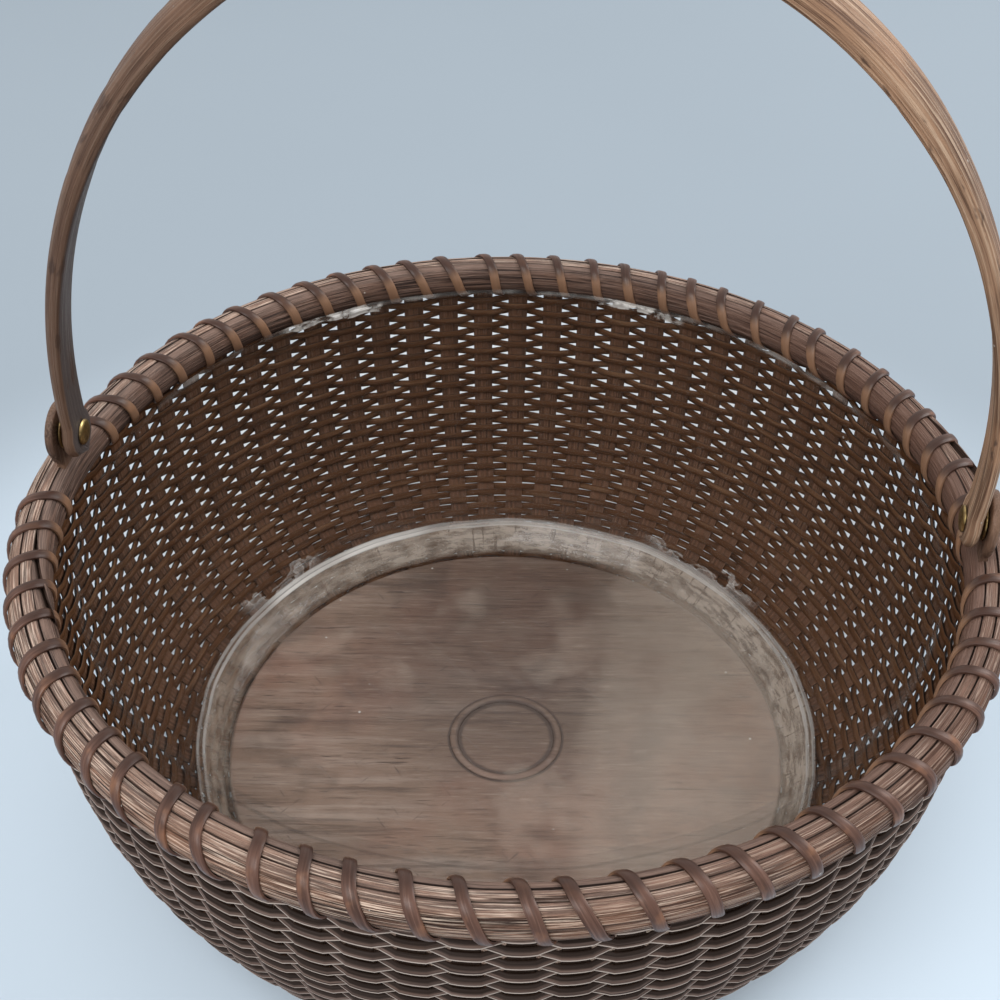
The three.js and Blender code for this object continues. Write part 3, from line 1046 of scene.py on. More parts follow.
@dataclass(frozen=True)
class ClearSheet:
    """Clear plastic: a faint gloss, a hazy foot under a thin white line of painted highlight, painted
    highlights and scuffs at the lip, scratches.
    """

    lip_height: float
    name: str = "liner_clear"
    clear: Colour = (0.05, 0.05, 0.05)
    dusty: Colour = (0.60, 0.515, 0.435)
    grimy: Colour = (0.23, 0.180, 0.145)
    # White of the painted highlights and of the scuffs, scratches and specks.
    scuffs_and_highlights: Colour = (0.80, 0.78, 0.75)
    clear_alpha: float = 0.06
    refraction: float = 1.46
    floor_height: float = 10.9 * MM
    floor_heights: Pair = (0.9 * MM, 0.2 * MM)
    ring_height: float = 17.5 * MM
    ring_half: float = 0.75 * MM
    ring_full_share: float = 0.3
    flare_start_share: float = 1.9
    # Arcs where the painted highlight at the foot is brightest, and where its flares show.
    bright_foot: Arcs = ((135.0, 21.0),)
    hazy_foot: Arcs = ((60.0, 85.0),)
    foot_flares: Arcs = ((151.0, 11.0), (53.0, 15.0))
    # Arcs of the lip's painted highlights, partly scuffs.
    lip_highlights_and_scuffs: Arcs = ((128.0, 9.0), (76.0, 7.0))
    arc_end_shares: Pair = (1.15, 0.6)
    flare_tip: Pair = (0.15 * MM, -0.15 * MM)
    flare_fill: Pair = (-1.3 * MM, -0.2 * MM)
    flare_tip_share: float = 0.55
    flare_root: Pair = (-0.1 * MM, 0.1 * MM)
    specks: Specks = Specks(9 * MM, 0.38 * MM, 0.16)
    breaks: Patches = Patches(24 * MM, 0.5, 0.3)
    foot_lobes: Patches = Patches(9 * MM, 0.5, 0.12)
    foot_lobe_reach: float = 3.6 * MM
    lip_lobes: Patches = Patches(20 * MM, 0.5, 0.22)
    lip_lobe_reach: float = 3.0 * MM
    lip_rags: Patches = Patches(4.5 * MM, 0.54, 0.10)
    lip_dots: Patches = Patches(13 * MM, 0.5, 0.2)
    lip_edge: Pair = (0.7 * MM, 0.3 * MM)
    back_reach: Pair = (20 * MM, 50 * MM)
    streak_radius: float = 85 * MM
    long_streaks: Fibres = Fibres(8 * MM, 1.3 * MM, 2.3)
    short_streaks: Fibres = Fibres(14 * MM, 2.4 * MM, 3.2)
    haze_soft: float = 0.8 * MM
    haze_rise: float = 1.2 * MM
    right_reach: Pair = (5 * MM, 60 * MM)
    clouds: Patches = Patches(42 * MM, 0.42, 0.05)
    grain: Patches = Patches(14 * MM, 0.55, 0.12)
    scratch_breadth: float = 0.45 * MM
    scratch_contrast: float = 3.0
    scratch_lines: Lines = (((0.0, 0.0, 0.7), 50 * MM), ((0.3, 0.2, 1.9), 34 * MM))

    def material(self) -> bpy.types.Material:
        """Builds the material.

        Returns:
            The material, see-through but for its marks and its dust.
        """
        material, sheet, shader = new_material(self.name)
        place = sheet.node("TexCoord").outputs["Object"]
        height = sheet.apart(place)[2]
        marks = sheet.most(self.ring(sheet, place, height), self.lip(sheet, place, height))
        marks = sheet.most(marks, self.scratches(sheet, place))
        marks = sheet.most(marks, sheet.times(self.specks.on(sheet, place), 0.5))
        streak = self.streaks(sheet, place, height)
        dust = self.dust(sheet, place, height)
        level = sheet.minus(height, self.floor_height)
        clean = sheet.most(sheet.span(streak, 0.15, 0.75), sheet.span(level, *self.floor_heights))
        dusty = sheet.mix(self.grimy, self.dusty, clean)
        colour = sheet.mix(self.clear, dusty, sheet.span(dust, 0.0, 0.08))
        # White marks: painted highlights at the foot and the lip, with scuffs, scratches and specks.
        colour = sheet.mix(colour, self.scuffs_and_highlights, sheet.span(marks, 0.0, 0.20))
        sheet.tree.links.new(colour, shader.inputs["Base Color"])
        shader.inputs["IOR"].default_value = self.refraction
        sheet.tree.links.new(sheet.span(marks, 0.0, 0.4, 0.12, 0.55), shader.inputs["Roughness"])
        alpha = sheet.maths("ADD", sheet.most(marks, dust), self.clear_alpha, clamp=True)
        sheet.tree.links.new(alpha, shader.inputs["Alpha"])
        return material

    def within(self, sheet: Sheet, place: Socket, arcs: Arcs) -> Socket:
        """Picks the points inside the given arcs about Z.

        Args:
            sheet: the material's sheet.
            place: the place on the liner.
            arcs: the arcs.

        Returns:
            1 inside the arcs and 0 outside, with soft ends.
        """
        flat = sheet.node("VectorMath", {0: place, 1: LEVEL}, operation="MULTIPLY").outputs[0]
        way = sheet.node("VectorMath", {0: flat}, operation="NORMALIZE").outputs[0]
        start, full = self.arc_end_shares
        inside = 0.0
        for middle, half in arcs:
            turn = math.radians(middle)
            aim = {0: way, 1: (math.cos(turn), math.sin(turn), 0.0)}
            level = sheet.node("VectorMath", aim, operation="DOT_PRODUCT").outputs["Value"]
            outer, inner = math.cos(math.radians(start * half)), math.cos(math.radians(full * half))
            inside = sheet.most(sheet.span(level, outer, inner), inside)
        return inside

    def flare(self, sheet: Sheet, place: Socket, depth: Socket, lobes: Patches, reach: float) -> Socket:
        """Draws a ragged mark that starts where the depth is 0 and reaches unevenly far.

        Args:
            sheet: the material's sheet.
            place: the place on the liner.
            depth: distance from the line that the mark starts on.
            lobes: the mark's lobes.
            reach: how far the longest lobe reaches.

        Returns:
            The mask.
        """
        end = sheet.minus(depth, sheet.times(lobes.on(sheet, place), reach))
        inside = sheet.span(end, *self.flare_tip)
        inside = sheet.times(inside, sheet.span(end, *self.flare_fill, self.flare_tip_share, 1.0))
        return sheet.times(inside, sheet.span(depth, *self.flare_root))

    def ring(self, sheet: Sheet, place: Socket, height: Socket) -> Socket:
        """Draws the painted highlight where the side turns into the floor, a thin white line with ragged
        flares above it that are painted highlight and haze.

        Args:
            sheet: the material's sheet.
            place: the place on the liner.
            height: its height.

        Returns:
            The mask.
        """
        above = sheet.minus(height, self.ring_height)
        # Painted highlight: the thin white line at the turn of the foot.
        line = sheet.span(sheet.size(above), self.ring_half, self.ring_full_share * self.ring_half)
        bright = sheet.span(self.within(sheet, place, self.bright_foot), 0.0, 1.0, 0.32, 0.85)
        unbroken = sheet.span(self.breaks.on(sheet, place), 0.0, 1.0, 0.5, 1.0)
        line = sheet.times(line, sheet.times(bright, unbroken))
        # Painted highlight, partly haze: the ragged flares above the line.
        start = sheet.minus(above, self.flare_start_share * self.ring_half)
        flare = self.flare(sheet, place, start, self.foot_lobes, self.foot_lobe_reach)
        chosen = sheet.span(self.within(sheet, place, self.foot_flares), 0.0, 1.0, 0.04, 0.22)
        return sheet.most(line, sheet.times(flare, chosen))

    def lip(self, sheet: Sheet, place: Socket, height: Socket) -> Socket:
        """Draws the thin pale edge and the white marks along the lip, at the back of the basket: painted
        highlights, partly scuffs.

        Args:
            sheet: the material's sheet.
            place: the place on the liner.
            height: its height.

        Returns:
            The mask.
        """
        depth = sheet.minus(self.lip_height, height)
        # Painted highlights along the lip, partly scuffs, shown at the back only.
        flare = self.flare(sheet, place, depth, self.lip_lobes, self.lip_lobe_reach)
        ragged = self.lip_rags.on(sheet, place)
        chosen = sheet.times(self.within(sheet, place, self.lip_highlights_and_scuffs), 0.66)
        flare = sheet.times(sheet.times(flare, ragged), chosen)
        edge = sheet.span(depth, *self.lip_edge, 0.0, 0.14)
        marks = sheet.most(flare, sheet.times(edge, self.lip_dots.on(sheet, place)))
        return sheet.times(marks, sheet.span(sheet.apart(place)[1], *self.back_reach))

    def streaks(self, sheet: Sheet, place: Socket, height: Socket) -> Socket:
        """Draws streaks of dirt that run round the foot, crossed by a few short ones.

        Args:
            sheet: the material's sheet.
            place: the place on the liner.
            height: its height.

        Returns:
            The mask.
        """
        parts = sheet.apart(place)
        around = sheet.times(sheet.maths("ARCTAN2", parts[0], parts[1]), self.streak_radius)
        wrapped = sheet.node("CombineXYZ", {0: around, 1: height}).outputs[0]
        long = self.long_streaks.on(sheet, wrapped)
        crossing = sheet.node("CombineXYZ", {0: height, 1: around}).outputs[0]
        short = self.short_streaks.on(sheet, crossing)
        return sheet.times(long, sheet.span(short, 0.02, 0.30, 0.35, 1.0))

    def dust(self, sheet: Sheet, place: Socket, height: Socket) -> Socket:
        """Lays the brown-grey haze at the turn of the foot, and in patches on the floor.

        Args:
            sheet: the material's sheet.
            place: the place on the liner.
            height: its height.

        Returns:
            The mask.
        """
        under = sheet.span(height, self.ring_height + self.haze_soft, self.ring_height - self.haze_soft)
        turn = sheet.span(height, self.floor_height, self.floor_height + self.haze_rise)
        share = sheet.span(self.within(sheet, place, self.hazy_foot), 0.0, 1.0, 0.20, 0.46)
        turn = sheet.times(turn, share)
        right = sheet.span(sheet.apart(place)[0], *self.right_reach, 0.0, 0.20)
        haze = sheet.most(turn, sheet.most(right, sheet.times(self.clouds.on(sheet, place), 0.06)))
        uneven = sheet.span(self.grain.on(sheet, place), 0.0, 1.0, 0.68, 1.0)
        return sheet.times(sheet.times(haze, under), uneven)

    def scratches(self, sheet: Sheet, place: Socket) -> Socket:
        """Draws fine scratches in two directions.

        Args:
            sheet: the material's sheet.
            place: the place on the liner.

        Returns:
            The mask.
        """
        marks = []
        for turn, length in self.scratch_lines:
            turned = sheet.node("Mapping", {"Vector": place, "Rotation": turn}).outputs[0]
            lines = Fibres(length, self.scratch_breadth, self.scratch_contrast)
            marks.append(sheet.span(lines.on(sheet, turned), 0.93, 1.0))
        return sheet.times(sheet.most(*marks), 0.10)


CANE = WovenCane(
    "weave_cane", deep=(0.022, 0.014, 0.011), body=(0.155, 0.104, 0.087), pale=(0.260, 0.190, 0.164),
    worn=(0.175, 0.105, 0.078), worn_cover=0.42, worn_strength=0.4, relief=0.10 * MM, speck_cover=0.0,
    gloss=0.12,
)
STAVE_WOOD = StaveWood(
    "stave_wood", deep=(0.070, 0.036, 0.022), body=(0.190, 0.092, 0.052), pale=(0.260, 0.140, 0.085),
    worn=(0.210, 0.105, 0.060), speck_cover=0.0, gloss=0.12,
)
HOOP_WOOD = HoopWood(
    "hoop_wood", deep=(0.040, 0.018, 0.012), body=(0.430, 0.245, 0.172), pale=(0.950, 0.760, 0.620),
    worn=(0.500, 0.260, 0.160), fibre_length=14 * MM, fibre_breadth=0.28 * MM, fibre_contrast=5.2,
    worn_cover=0.42, worn_strength=0.35, relief=0.45 * MM, speck_cover=0.03,
)
# A darker copy of the hoop wood for the inner hoop: painted shade on the rim's inner side.
SHADED_HOOP_WOOD = HoopWood(
    "hoop_wood_shaded", deep=(0.022, 0.011, 0.009), body=(0.175, 0.102, 0.075), pale=(0.330, 0.225, 0.180),
    worn=(0.230, 0.125, 0.085), fibre_length=12 * MM, fibre_breadth=0.27 * MM, fibre_contrast=2.8,
    worn_cover=0.40, worn_strength=0.40, relief=0.30 * MM, speck_cover=0.03, top=(0.330, 0.235, 0.195),
)
STRAND_CANE = Strand(
    "strand_cane", deep=(0.038, 0.018, 0.013), body=(0.128, 0.064, 0.046), pale=(0.240, 0.140, 0.108),
    worn=(0.400, 0.190, 0.100), fibre_length=9 * MM, fibre_breadth=0.5 * MM, fibre_contrast=1.7,
    worn_size=6 * MM, worn_cover=0.38, worn_strength=0.45, roughness=(0.26, 0.44), relief=0.05 * MM,
    speck_cover=0.01,
)
HANDLE_WOOD = HandleWood(
    "handle_wood", deep=(0.110, 0.056, 0.034), body=(0.450, 0.270, 0.170), pale=(0.780, 0.580, 0.420),
    worn=(0.600, 0.340, 0.200), fibre_length=34 * MM, fibre_breadth=0.6 * MM, fibre_contrast=2.8,
    worn_size=26 * MM, worn_cover=0.42, worn_strength=0.45, roughness=(0.35, 0.6), relief=0.35 * MM,
    speck_cover=0.03,
)
EAR_WOOD = Wood(
    "ear_wood", deep=(0.040, 0.022, 0.015), body=(0.135, 0.078, 0.055), pale=(0.220, 0.140, 0.100),
    worn=(0.260, 0.150, 0.095), roughness=(0.35, 0.6), relief=0.12 * MM,
)


# Sub-assemblies


@dataclass
class Wall:
    """Upright staves and the cane woven on them: one weaver that climbs round by round."""

    side: Bowl = Bowl(BOARD_RADIUS, RIM_RADIUS, RIM_HEIGHT, 90.5 * MM, 1.55, 2.7)
    foot_turn: float = 0.972
    top_depth: float = 5.75 * MM
    rail: Rail = field(init=False)
    stave_count: int = STAVE_COUNT
    stave_foot: float = 5.4 * MM
    stave_tip: float = 6.3 * MM
    stave_thickness: float = 0.9 * MM
    stave_corner: float = 0.25 * MM
    stave_points: int = 28
    tip_rise: float = 7.9 * MM
    foot_reach: float = 3.2 * MM
    rows: int = 43
    foot_row_share: float = 0.93
    cane_fill: float = 0.95
    foot_fill: float = 0.16
    foot_fill_fade: float = 4.0
    cane_thickness: float = 0.95 * MM
    cane_crown: float = 0.12 * MM
    contact: float = 1.0 * MM
    arch: float = 0.15 * MM
    edge_share: float = 0.27
    bend_share: float = 0.55
    bend_reach: float = 0.11
    crossing_power: float = 1.15
    least_width: float = 0.12
    row_wobble: float = 0.06
    wobble_staves: float = 2.7
    nudge: float = 0.02
    steps: int = 8
    stretches: tuple[str, ...] = ("weave_lower", "weave_middle", "weave_upper")
    row_wander: Wander = field(default_factory=lambda: Wander(11, 4096))
    arch_wander: Wander = field(default_factory=lambda: Wander(12, 4096))

    def __post_init__(self) -> None:
        """Measures the wall's curve, from the board up to the rim."""
        self.rail = Rail.along(self.side, self.foot_turn, self.side.turn_at_depth(self.top_depth))

    @property
    def pitch(self) -> float:
        """Angle between staves."""
        return math.tau / self.stave_count

    @property
    def row_pitch(self) -> float:
        """Mean height of one row along the wall."""
        return self.rail.length / self.rows

    def row_place(self, row: Array) -> Array:
        """Returns the place along the wall of a row. Rows lie closer together near the foot."""
        share = row / self.rows
        return self.rail.length * share * (self.foot_row_share + (1.0 - self.foot_row_share) * share)

    def build(self) -> None:
        """Makes and dresses the staves and the weave."""
        self.staves()
        material = CANE.material()
        rounds = self.rows + 1
        first = 0
        for number, name in enumerate(self.stretches):
            last = round(rounds * self.stave_count * (number + 1) / len(self.stretches))
            piece = self.weaver(name, first, last)
            dress(piece, Body.BASKET, Slot.WEAVE, material, *(["woven_wall"] if number == 0 else []))
            first = last

    def staves(self) -> None:
        """Makes all staves from one: from the board's groove up to the tip between the hoops."""
        half, corner = self.stave_thickness / 2.0, self.stave_corner
        section = [
            (-0.5, -half + corner),
            (-0.44, -half),
            (0.44, -half),
            (0.5, -half + corner),
            (0.5, half - corner),
            (0.44, half),
            (0.0, half + 0.3 * corner),
            (-0.44, half),
            (-0.5, half - corner),
        ]
        length = self.foot_reach + self.rail.length + self.tip_rise
        stave = finish_mesh("staves", straight_bar(section, length, self.stave_points))
        bend(stave, self.lay_stave, self.stave_tip)
        bm = bmesh.new()
        bm.from_mesh(stave.data)
        bmesh.ops.spin(
            bm,
            geom=bm.verts[:] + bm.edges[:] + bm.faces[:],
            cent=(0.0, 0.0, 0.0),
            axis=(0.0, 0.0, 1.0),
            dvec=(0.0, 0.0, 0.0),
            angle=self.pitch * (self.stave_count - 1),
            steps=self.stave_count - 1,
            use_duplicate=True,
        )
        bm.to_mesh(stave.data)
        bm.free()
        dress(stave, Body.BASKET, Slot.WEAVE, STAVE_WOOD.material())

    def lay_stave(self, straight: Array) -> Array:
        """Lays a stave up the wall. Its straight width is 1 and takes the real width here.

        Args:
            straight: places on the straight stave.

        Returns:
            Their places on the wall.
        """
        place = straight[:, 0] - self.foot_reach
        share = np.clip(place / self.rail.length, 0.0, 1.0)
        width = self.stave_foot + (self.stave_tip - self.stave_foot) * share
        radius, height = self.rail.lay(place, straight[:, 2])
        return np.stack([radius, -straight[:, 1] * width, height], axis=1)

    def cane_section(self) -> Section:
        """Draws the weaver's section.

        Returns:
            Its corners: flat inside, and fullest along the lower outer edge.
        """
        half = self.cane_fill * self.row_pitch / 2.0
        thick, crown = self.cane_thickness / 2.0, self.cane_crown
        return [
            (-half, -0.7 * thick),
            (-0.93 * half, -thick),
            (0.93 * half, -thick),
            (half, -0.7 * thick),
            (0.92 * half, 0.0),
            (0.55 * half, 0.75 * thick),
            (0.0, thick + 0.5 * crown),
            (-0.48 * half, thick + 2.0 * crown),
            (-0.72 * half, thick + 1.6 * crown),
            (-0.92 * half, 0.2 * thick),
        ]

    def deviation(self, unit: Array) -> Array:
        """Weaves in and out: how far the weaver lies outside the staves' middle.

        Args:
            unit: count of staves passed.

        Returns:
            The distance, less than 0 inside the staves.
        """
        nearest = np.round(unit)
        side = np.where(nearest % 2 == 0, 1.0, -1.0)
        apart = np.abs(unit - nearest)
        on_stave = 1.0 - np.clip(apart / self.edge_share, 0.0, 1.0) ** 2
        crossing = np.clip((0.5 - apart) / (0.5 - self.edge_share), 0.0, 1.0)
        arch = self.arch * (1.0 + 0.5 * self.arch_wander.at(nearest))
        return side * (self.contact * crossing**self.crossing_power + arch * on_stave)

    def weaver(self, name: str, first: int, last: int) -> bpy.types.Object:
        """Makes one stretch of the weaver. Its first and last rounds taper, so that it ends level.

        Args:
            name: the piece's name.
            first: staves that the weaver has passed where the stretch begins.
            last: staves that it has passed where the stretch ends.

        Returns:
            The piece.
        """
        count = last - first
        unit_length = self.pitch * float(self.rail.radius.mean())
        bar = straight_bar(self.cane_section(), count * unit_length, count * self.steps)
        piece = finish_mesh(name, bar, math.radians(75.0))
        near = self.edge_share
        places = np.array([0.0, self.bend_share * near, near, near + self.bend_reach, 0.5])
        places = np.concatenate([places, 1.0 - places[-2::-1]])
        shares = np.linspace(0.0, 1.0, self.steps + 1)

        def lay(straight: Array) -> Array:
            """Lays the straight strip in and out of the staves, round after round.

            Args:
                straight: places on the straight strip.

            Returns:
                Their places on the wall.
            """
            passed = first + straight[:, 0] / unit_length
            whole = np.floor(passed + 1e-6)
            unit = whole + np.interp(passed - whole, shares, places)
            turn = unit / self.stave_count
            lower = np.maximum(turn - 1.0, 0.0)
            upper = np.minimum(turn, self.rows)
            wobble = self.row_wobble * self.row_wander.at(unit / self.wobble_staves)
            row = (lower + upper) / 2.0 + wobble
            across = straight[:, 1] / self.row_pitch * np.maximum(upper - lower, self.least_width)
            near_foot = np.clip(1.0 - self.foot_fill_fade * row / self.rows, 0.0, 1.0)
            across = across * (1.0 + self.foot_fill * near_foot)
            place = self.row_place(row + across)
            ahead, behind = self.deviation(unit + self.nudge), self.deviation(unit - self.nudge)
            rise = (ahead - behind) / (2.0 * self.nudge)
            radius, height = self.rail.lay(place, np.zeros_like(row))
            slope = np.arctan2(rise, self.pitch * radius)
            offset = self.deviation(unit) + straight[:, 2] * np.cos(slope)
            radius, height = self.rail.lay(place, offset)
            angle = unit * self.pitch - straight[:, 2] * np.sin(slope) / radius
            return turned_points(radius, angle, height)

        return bend(piece, lay)


@dataclass
class Rim:
    """Two hoops with the staves' tips between them, a cap strip over the tips, and the lashing."""

    radius: float = RIM_RADIUS
    height: float = RIM_HEIGHT
    half: float = BUNDLE_HALF
    roundness: float = 2.35
    round_points: int = 40
    face: float = 0.9 * MM
    cap_half: float = 1.45 * MM
    cap_seam: float = 0.35 * MM
    cap_thickness: float = 2.2 * MM
    cap_crown: float = 0.25 * MM
    cap_crown_share: float = 0.6
    cap_ease: float = 0.3 * MM
    cap_gap: float = 0.5 * MM
    cap_start: float = math.radians(60.0)
    cap_sink: float = 0.12 * MM
    cap_sink_cell: float = 9 * MM
    scarf: float = 34 * MM
    outer_lap: float = math.radians(12.0)
    inner_lap: float = math.radians(194.0)
    scarf_tip_share: float = 0.04
    segments: int = 402
    fibre_relief: float = 0.16 * MM
    fibre_sink: float = 0.8
    fibre_cell: float = 16 * MM
    strand_width: float = 2.8 * MM
    strand_thickness: float = 0.85 * MM
    strand_steps: int = 26
    strand_gap: float = 0.12 * MM
    strand_stay: float = 0.06
    strand_lean: float = 0.14
    strand_swell: float = 0.08
    swell_rate: float = 1.7
    nudge: float = 0.012
    stave_count: int = STAVE_COUNT
    lean_wander: Wander = field(default_factory=lambda: Wander(31, 128))

    def build(self) -> None:
        """Makes and dresses the hoops, the cap strip and both strands."""
        wood = HOOP_WOOD.material()
        outer = self.hoop("outer_hoop_bent", 1.0, self.outer_lap, 21)
        dress(outer, Body.BASKET, Slot.HOOP, wood, "outer_hoop")
        inner = self.hoop("inner_hoop_bent", -1.0, self.inner_lap, 22)
        # The inner hoop takes the darker copy: painted shade.
        dress(inner, Body.BASKET, Slot.HOOP, SHADED_HOOP_WOOD.material(), "inner_hoop")
        dress(self.cap(), Body.BASKET, Slot.HOOP, wood, "cap_strip")
        cane = STRAND_CANE.material()
        left_gap = (self.stave_count - 1) // 2
        gaps = {"lashing_back": (0, left_gap - 1), "lashing_front": (left_gap + 1, self.stave_count - 1)}
        for name, (first, last) in gaps.items():
            strand = self.lashing(name + "_strand", first, last)
            dress(strand, Body.BASKET, Slot.STRAND, cane, name)

    def bundle(self, angle: Array, half: float) -> tuple[Array, Array]:
        """Follows the rounded bundle's outline.

        Args:
            angle: angles about the bundle's middle.
            half: half of the bundle's breadth.

        Returns:
            How far outwards and how far up each point lies from the middle.
        """
        power = 2.0 / self.roundness
        out = half * np.sign(np.cos(angle)) * np.abs(np.cos(angle)) ** power
        rise = half * np.sign(np.sin(angle)) * np.abs(np.sin(angle)) ** power
        return out, rise

    def hoop_section(self) -> Section:
        """Draws the outer hoop's section.

        Returns:
            Its corners as (up, out) pairs from the bundle's middle, the rounded ones first.
        """
        lip = self.cap_half + self.cap_seam
        first = -math.acos((self.face / self.half) ** (self.roundness / 2.0))
        last = math.acos((lip / self.half) ** (self.roundness / 2.0))
        out, rise = self.bundle(np.linspace(first, last, self.round_points), self.half)
        rounded = list(zip(rise.tolist(), out.tolist()))
        seat = self.half - self.cap_thickness - self.cap_seam
        return [*rounded, (seat, lip), (seat, self.face)]

    def hoop(self, name: str, side: float, start: float, seed: int) -> bpy.types.Object:
        """Bends one hoop whose ends lap in a long slant.

        Args:
            name: the piece's name.
            side: 1 for the outer hoop and -1 for the inner one.
            start: angle at which the lap begins.
            seed: number that the fibres' relief follows from.

        Returns:
            The piece.
        """
        section = [(up, out * side) for up, out in self.hoop_section()]
        girth = math.tau * self.radius
        bm = straight_bar(section, girth + self.scarf, self.segments)
        piece = finish_mesh(name, bm, math.radians(60.0))
        cells = int(girth / self.fibre_cell)
        lines = [Wander(seed * 100 + number, 64) for number in range(len(section))]

        def lay(straight: Array) -> Array:
            """Bends the bar round, tapers its lapped ends and raises its fibres.

            Args:
                straight: places on the straight bar.

            Returns:
                Their places on the rim.
            """
            along, up, out = straight[:, 0], straight[:, 1], straight[:, 2]
            line = nearest_corner(section, up, out)
            relief = np.zeros_like(along)
            for number, wander in enumerate(lines[: self.round_points]):
                chosen = line == number
                relief[chosen] = wander.at(along[chosen] / girth * cells)
            reach = np.hypot(up, out)
            relief = self.fibre_relief * (relief - self.fibre_sink)
            grow = 1.0 + relief / np.maximum(reach, self.face)
            up, out = up * grow, out * np.where(line < self.round_points, grow, 1.0)
            inner, outer = sorted((side * self.face, side * self.half))
            opening = np.clip(along / self.scarf, self.scarf_tip_share, 1.0)
            closing = np.clip((girth + self.scarf - along) / self.scarf, self.scarf_tip_share, 1.0)
            out = outer - (outer - out) * opening
            out = inner + (out - inner) * closing
            return turned_points(self.radius + out, start + along / self.radius, self.height + up)

        return bend(piece, lay)

    def cap(self) -> bpy.types.Object:
        """Bends the cap strip into the seam between the hoops, one ring whose ends nearly meet.

        Returns:
            The piece.
        """
        low, high = self.half - self.cap_thickness, self.half
        crown_half = self.cap_crown_share * self.cap_half
        section = [
            (low, -self.cap_half),
            (low, self.cap_half),
            (high - self.cap_ease, self.cap_half),
            (high, crown_half),
            (high + self.cap_crown, 0.0),
            (high, -crown_half),
            (high - self.cap_ease, -self.cap_half),
        ]
        bm = straight_bar(section, math.tau * self.radius - self.cap_gap, self.segments)
        piece = finish_mesh("cap_strip_bent", bm)
        sink = Wander(23, 128)

        def lay(straight: Array) -> Array:
            """Bends the strip round, sinking and rising a little.

            Args:
                straight: places on the straight strip.

            Returns:
                Their places on the rim.
            """
            along = straight[:, 0]
            sunk = self.cap_sink * (sink.at(along / self.cap_sink_cell) - 1.0)
            angle = self.cap_start + along / self.radius
            height = self.height + straight[:, 1] + sunk
            return turned_points(self.radius + straight[:, 2], angle, height)

        return bend(piece, lay)

    def lashing(self, name: str, first_gap: int, last_gap: int) -> bpy.types.Object:
        """Winds one strand round the hoops, a turn in each gap between staves.

        Args:
            name: the piece's name.
            first_gap: the gap in which the strand starts, under the hoops.
            last_gap: the gap in which it ends.

        Returns:
            The piece.
        """
        half = self.strand_width / 2.0
        thick = self.strand_thickness / 2.0
        section = [
            (-half, -thick),
            (half, -thick),
            (half, 0.2 * thick),
            (0.72 * half, 0.8 * thick),
            (0.25 * half, thick),
            (-0.25 * half, thick),
            (-0.72 * half, 0.8 * thick),
            (-half, 0.2 * thick),
        ]
        turns = last_gap - first_gap
        turn_length = math.tau * self.half
        bm = straight_bar(section, turns * turn_length, turns * self.strand_steps)
        piece = finish_mesh(name, bm)
        width_wander = Wander(32 + first_gap, 128)

        def middle(turn: Array) -> Array:
            """Follows the strand's middle line.

            Args:
                turn: counts of turns.

            Returns:
                The places that the line has reached.
            """
            whole = np.floor(turn)
            share = turn - whole
            lean = self.strand_lean * self.lean_wander.at(whole + first_gap)
            ahead = np.clip((share - self.strand_stay) / (1.0 - 2.0 * self.strand_stay), 0.0, 1.0)
            eased = ahead + lean * np.sin(math.pi * ahead) ** 2
            gap = first_gap + whole + eased
            section_angle = -math.pi / 2.0 - math.tau * share
            out, rise = self.bundle(section_angle, self.half + thick + self.strand_gap)
            angle = (gap + 0.5) * math.tau / self.stave_count
            return turned_points(self.radius + out, angle, self.height + rise)

        def lay(straight: Array) -> Array:
            """Lays the strand along its line, flat on the bundle.

            Args:
                straight: places on the straight strand.

            Returns:
                Their places on the rim.
            """
            turn = straight[:, 0] / turn_length
            last_turn = turns - 1e-6
            here = middle(np.clip(turn, 0.0, last_turn))
            ahead = middle(np.clip(turn + self.nudge, 0.0, last_turn))
            behind = middle(np.clip(turn - self.nudge, 0.0, last_turn))
            along = ahead - behind
            along /= np.linalg.norm(along, axis=1)[:, None]
            angle = np.arctan2(here[:, 1], here[:, 0])
            radius, height = np.full_like(angle, self.radius), np.full_like(angle, self.height)
            away = here - turned_points(radius, angle, height)
            across = np.cross(away, along)
            across /= np.linalg.norm(across, axis=1)[:, None]
            through = np.cross(along, across)
            swell = self.strand_swell * width_wander.at(turn * self.swell_rate)
            spread = straight[:, 1] * (1.0 + swell)
            return here + across * spread[:, None] + through * straight[:, 2][:, None]

        return bend(piece, lay)


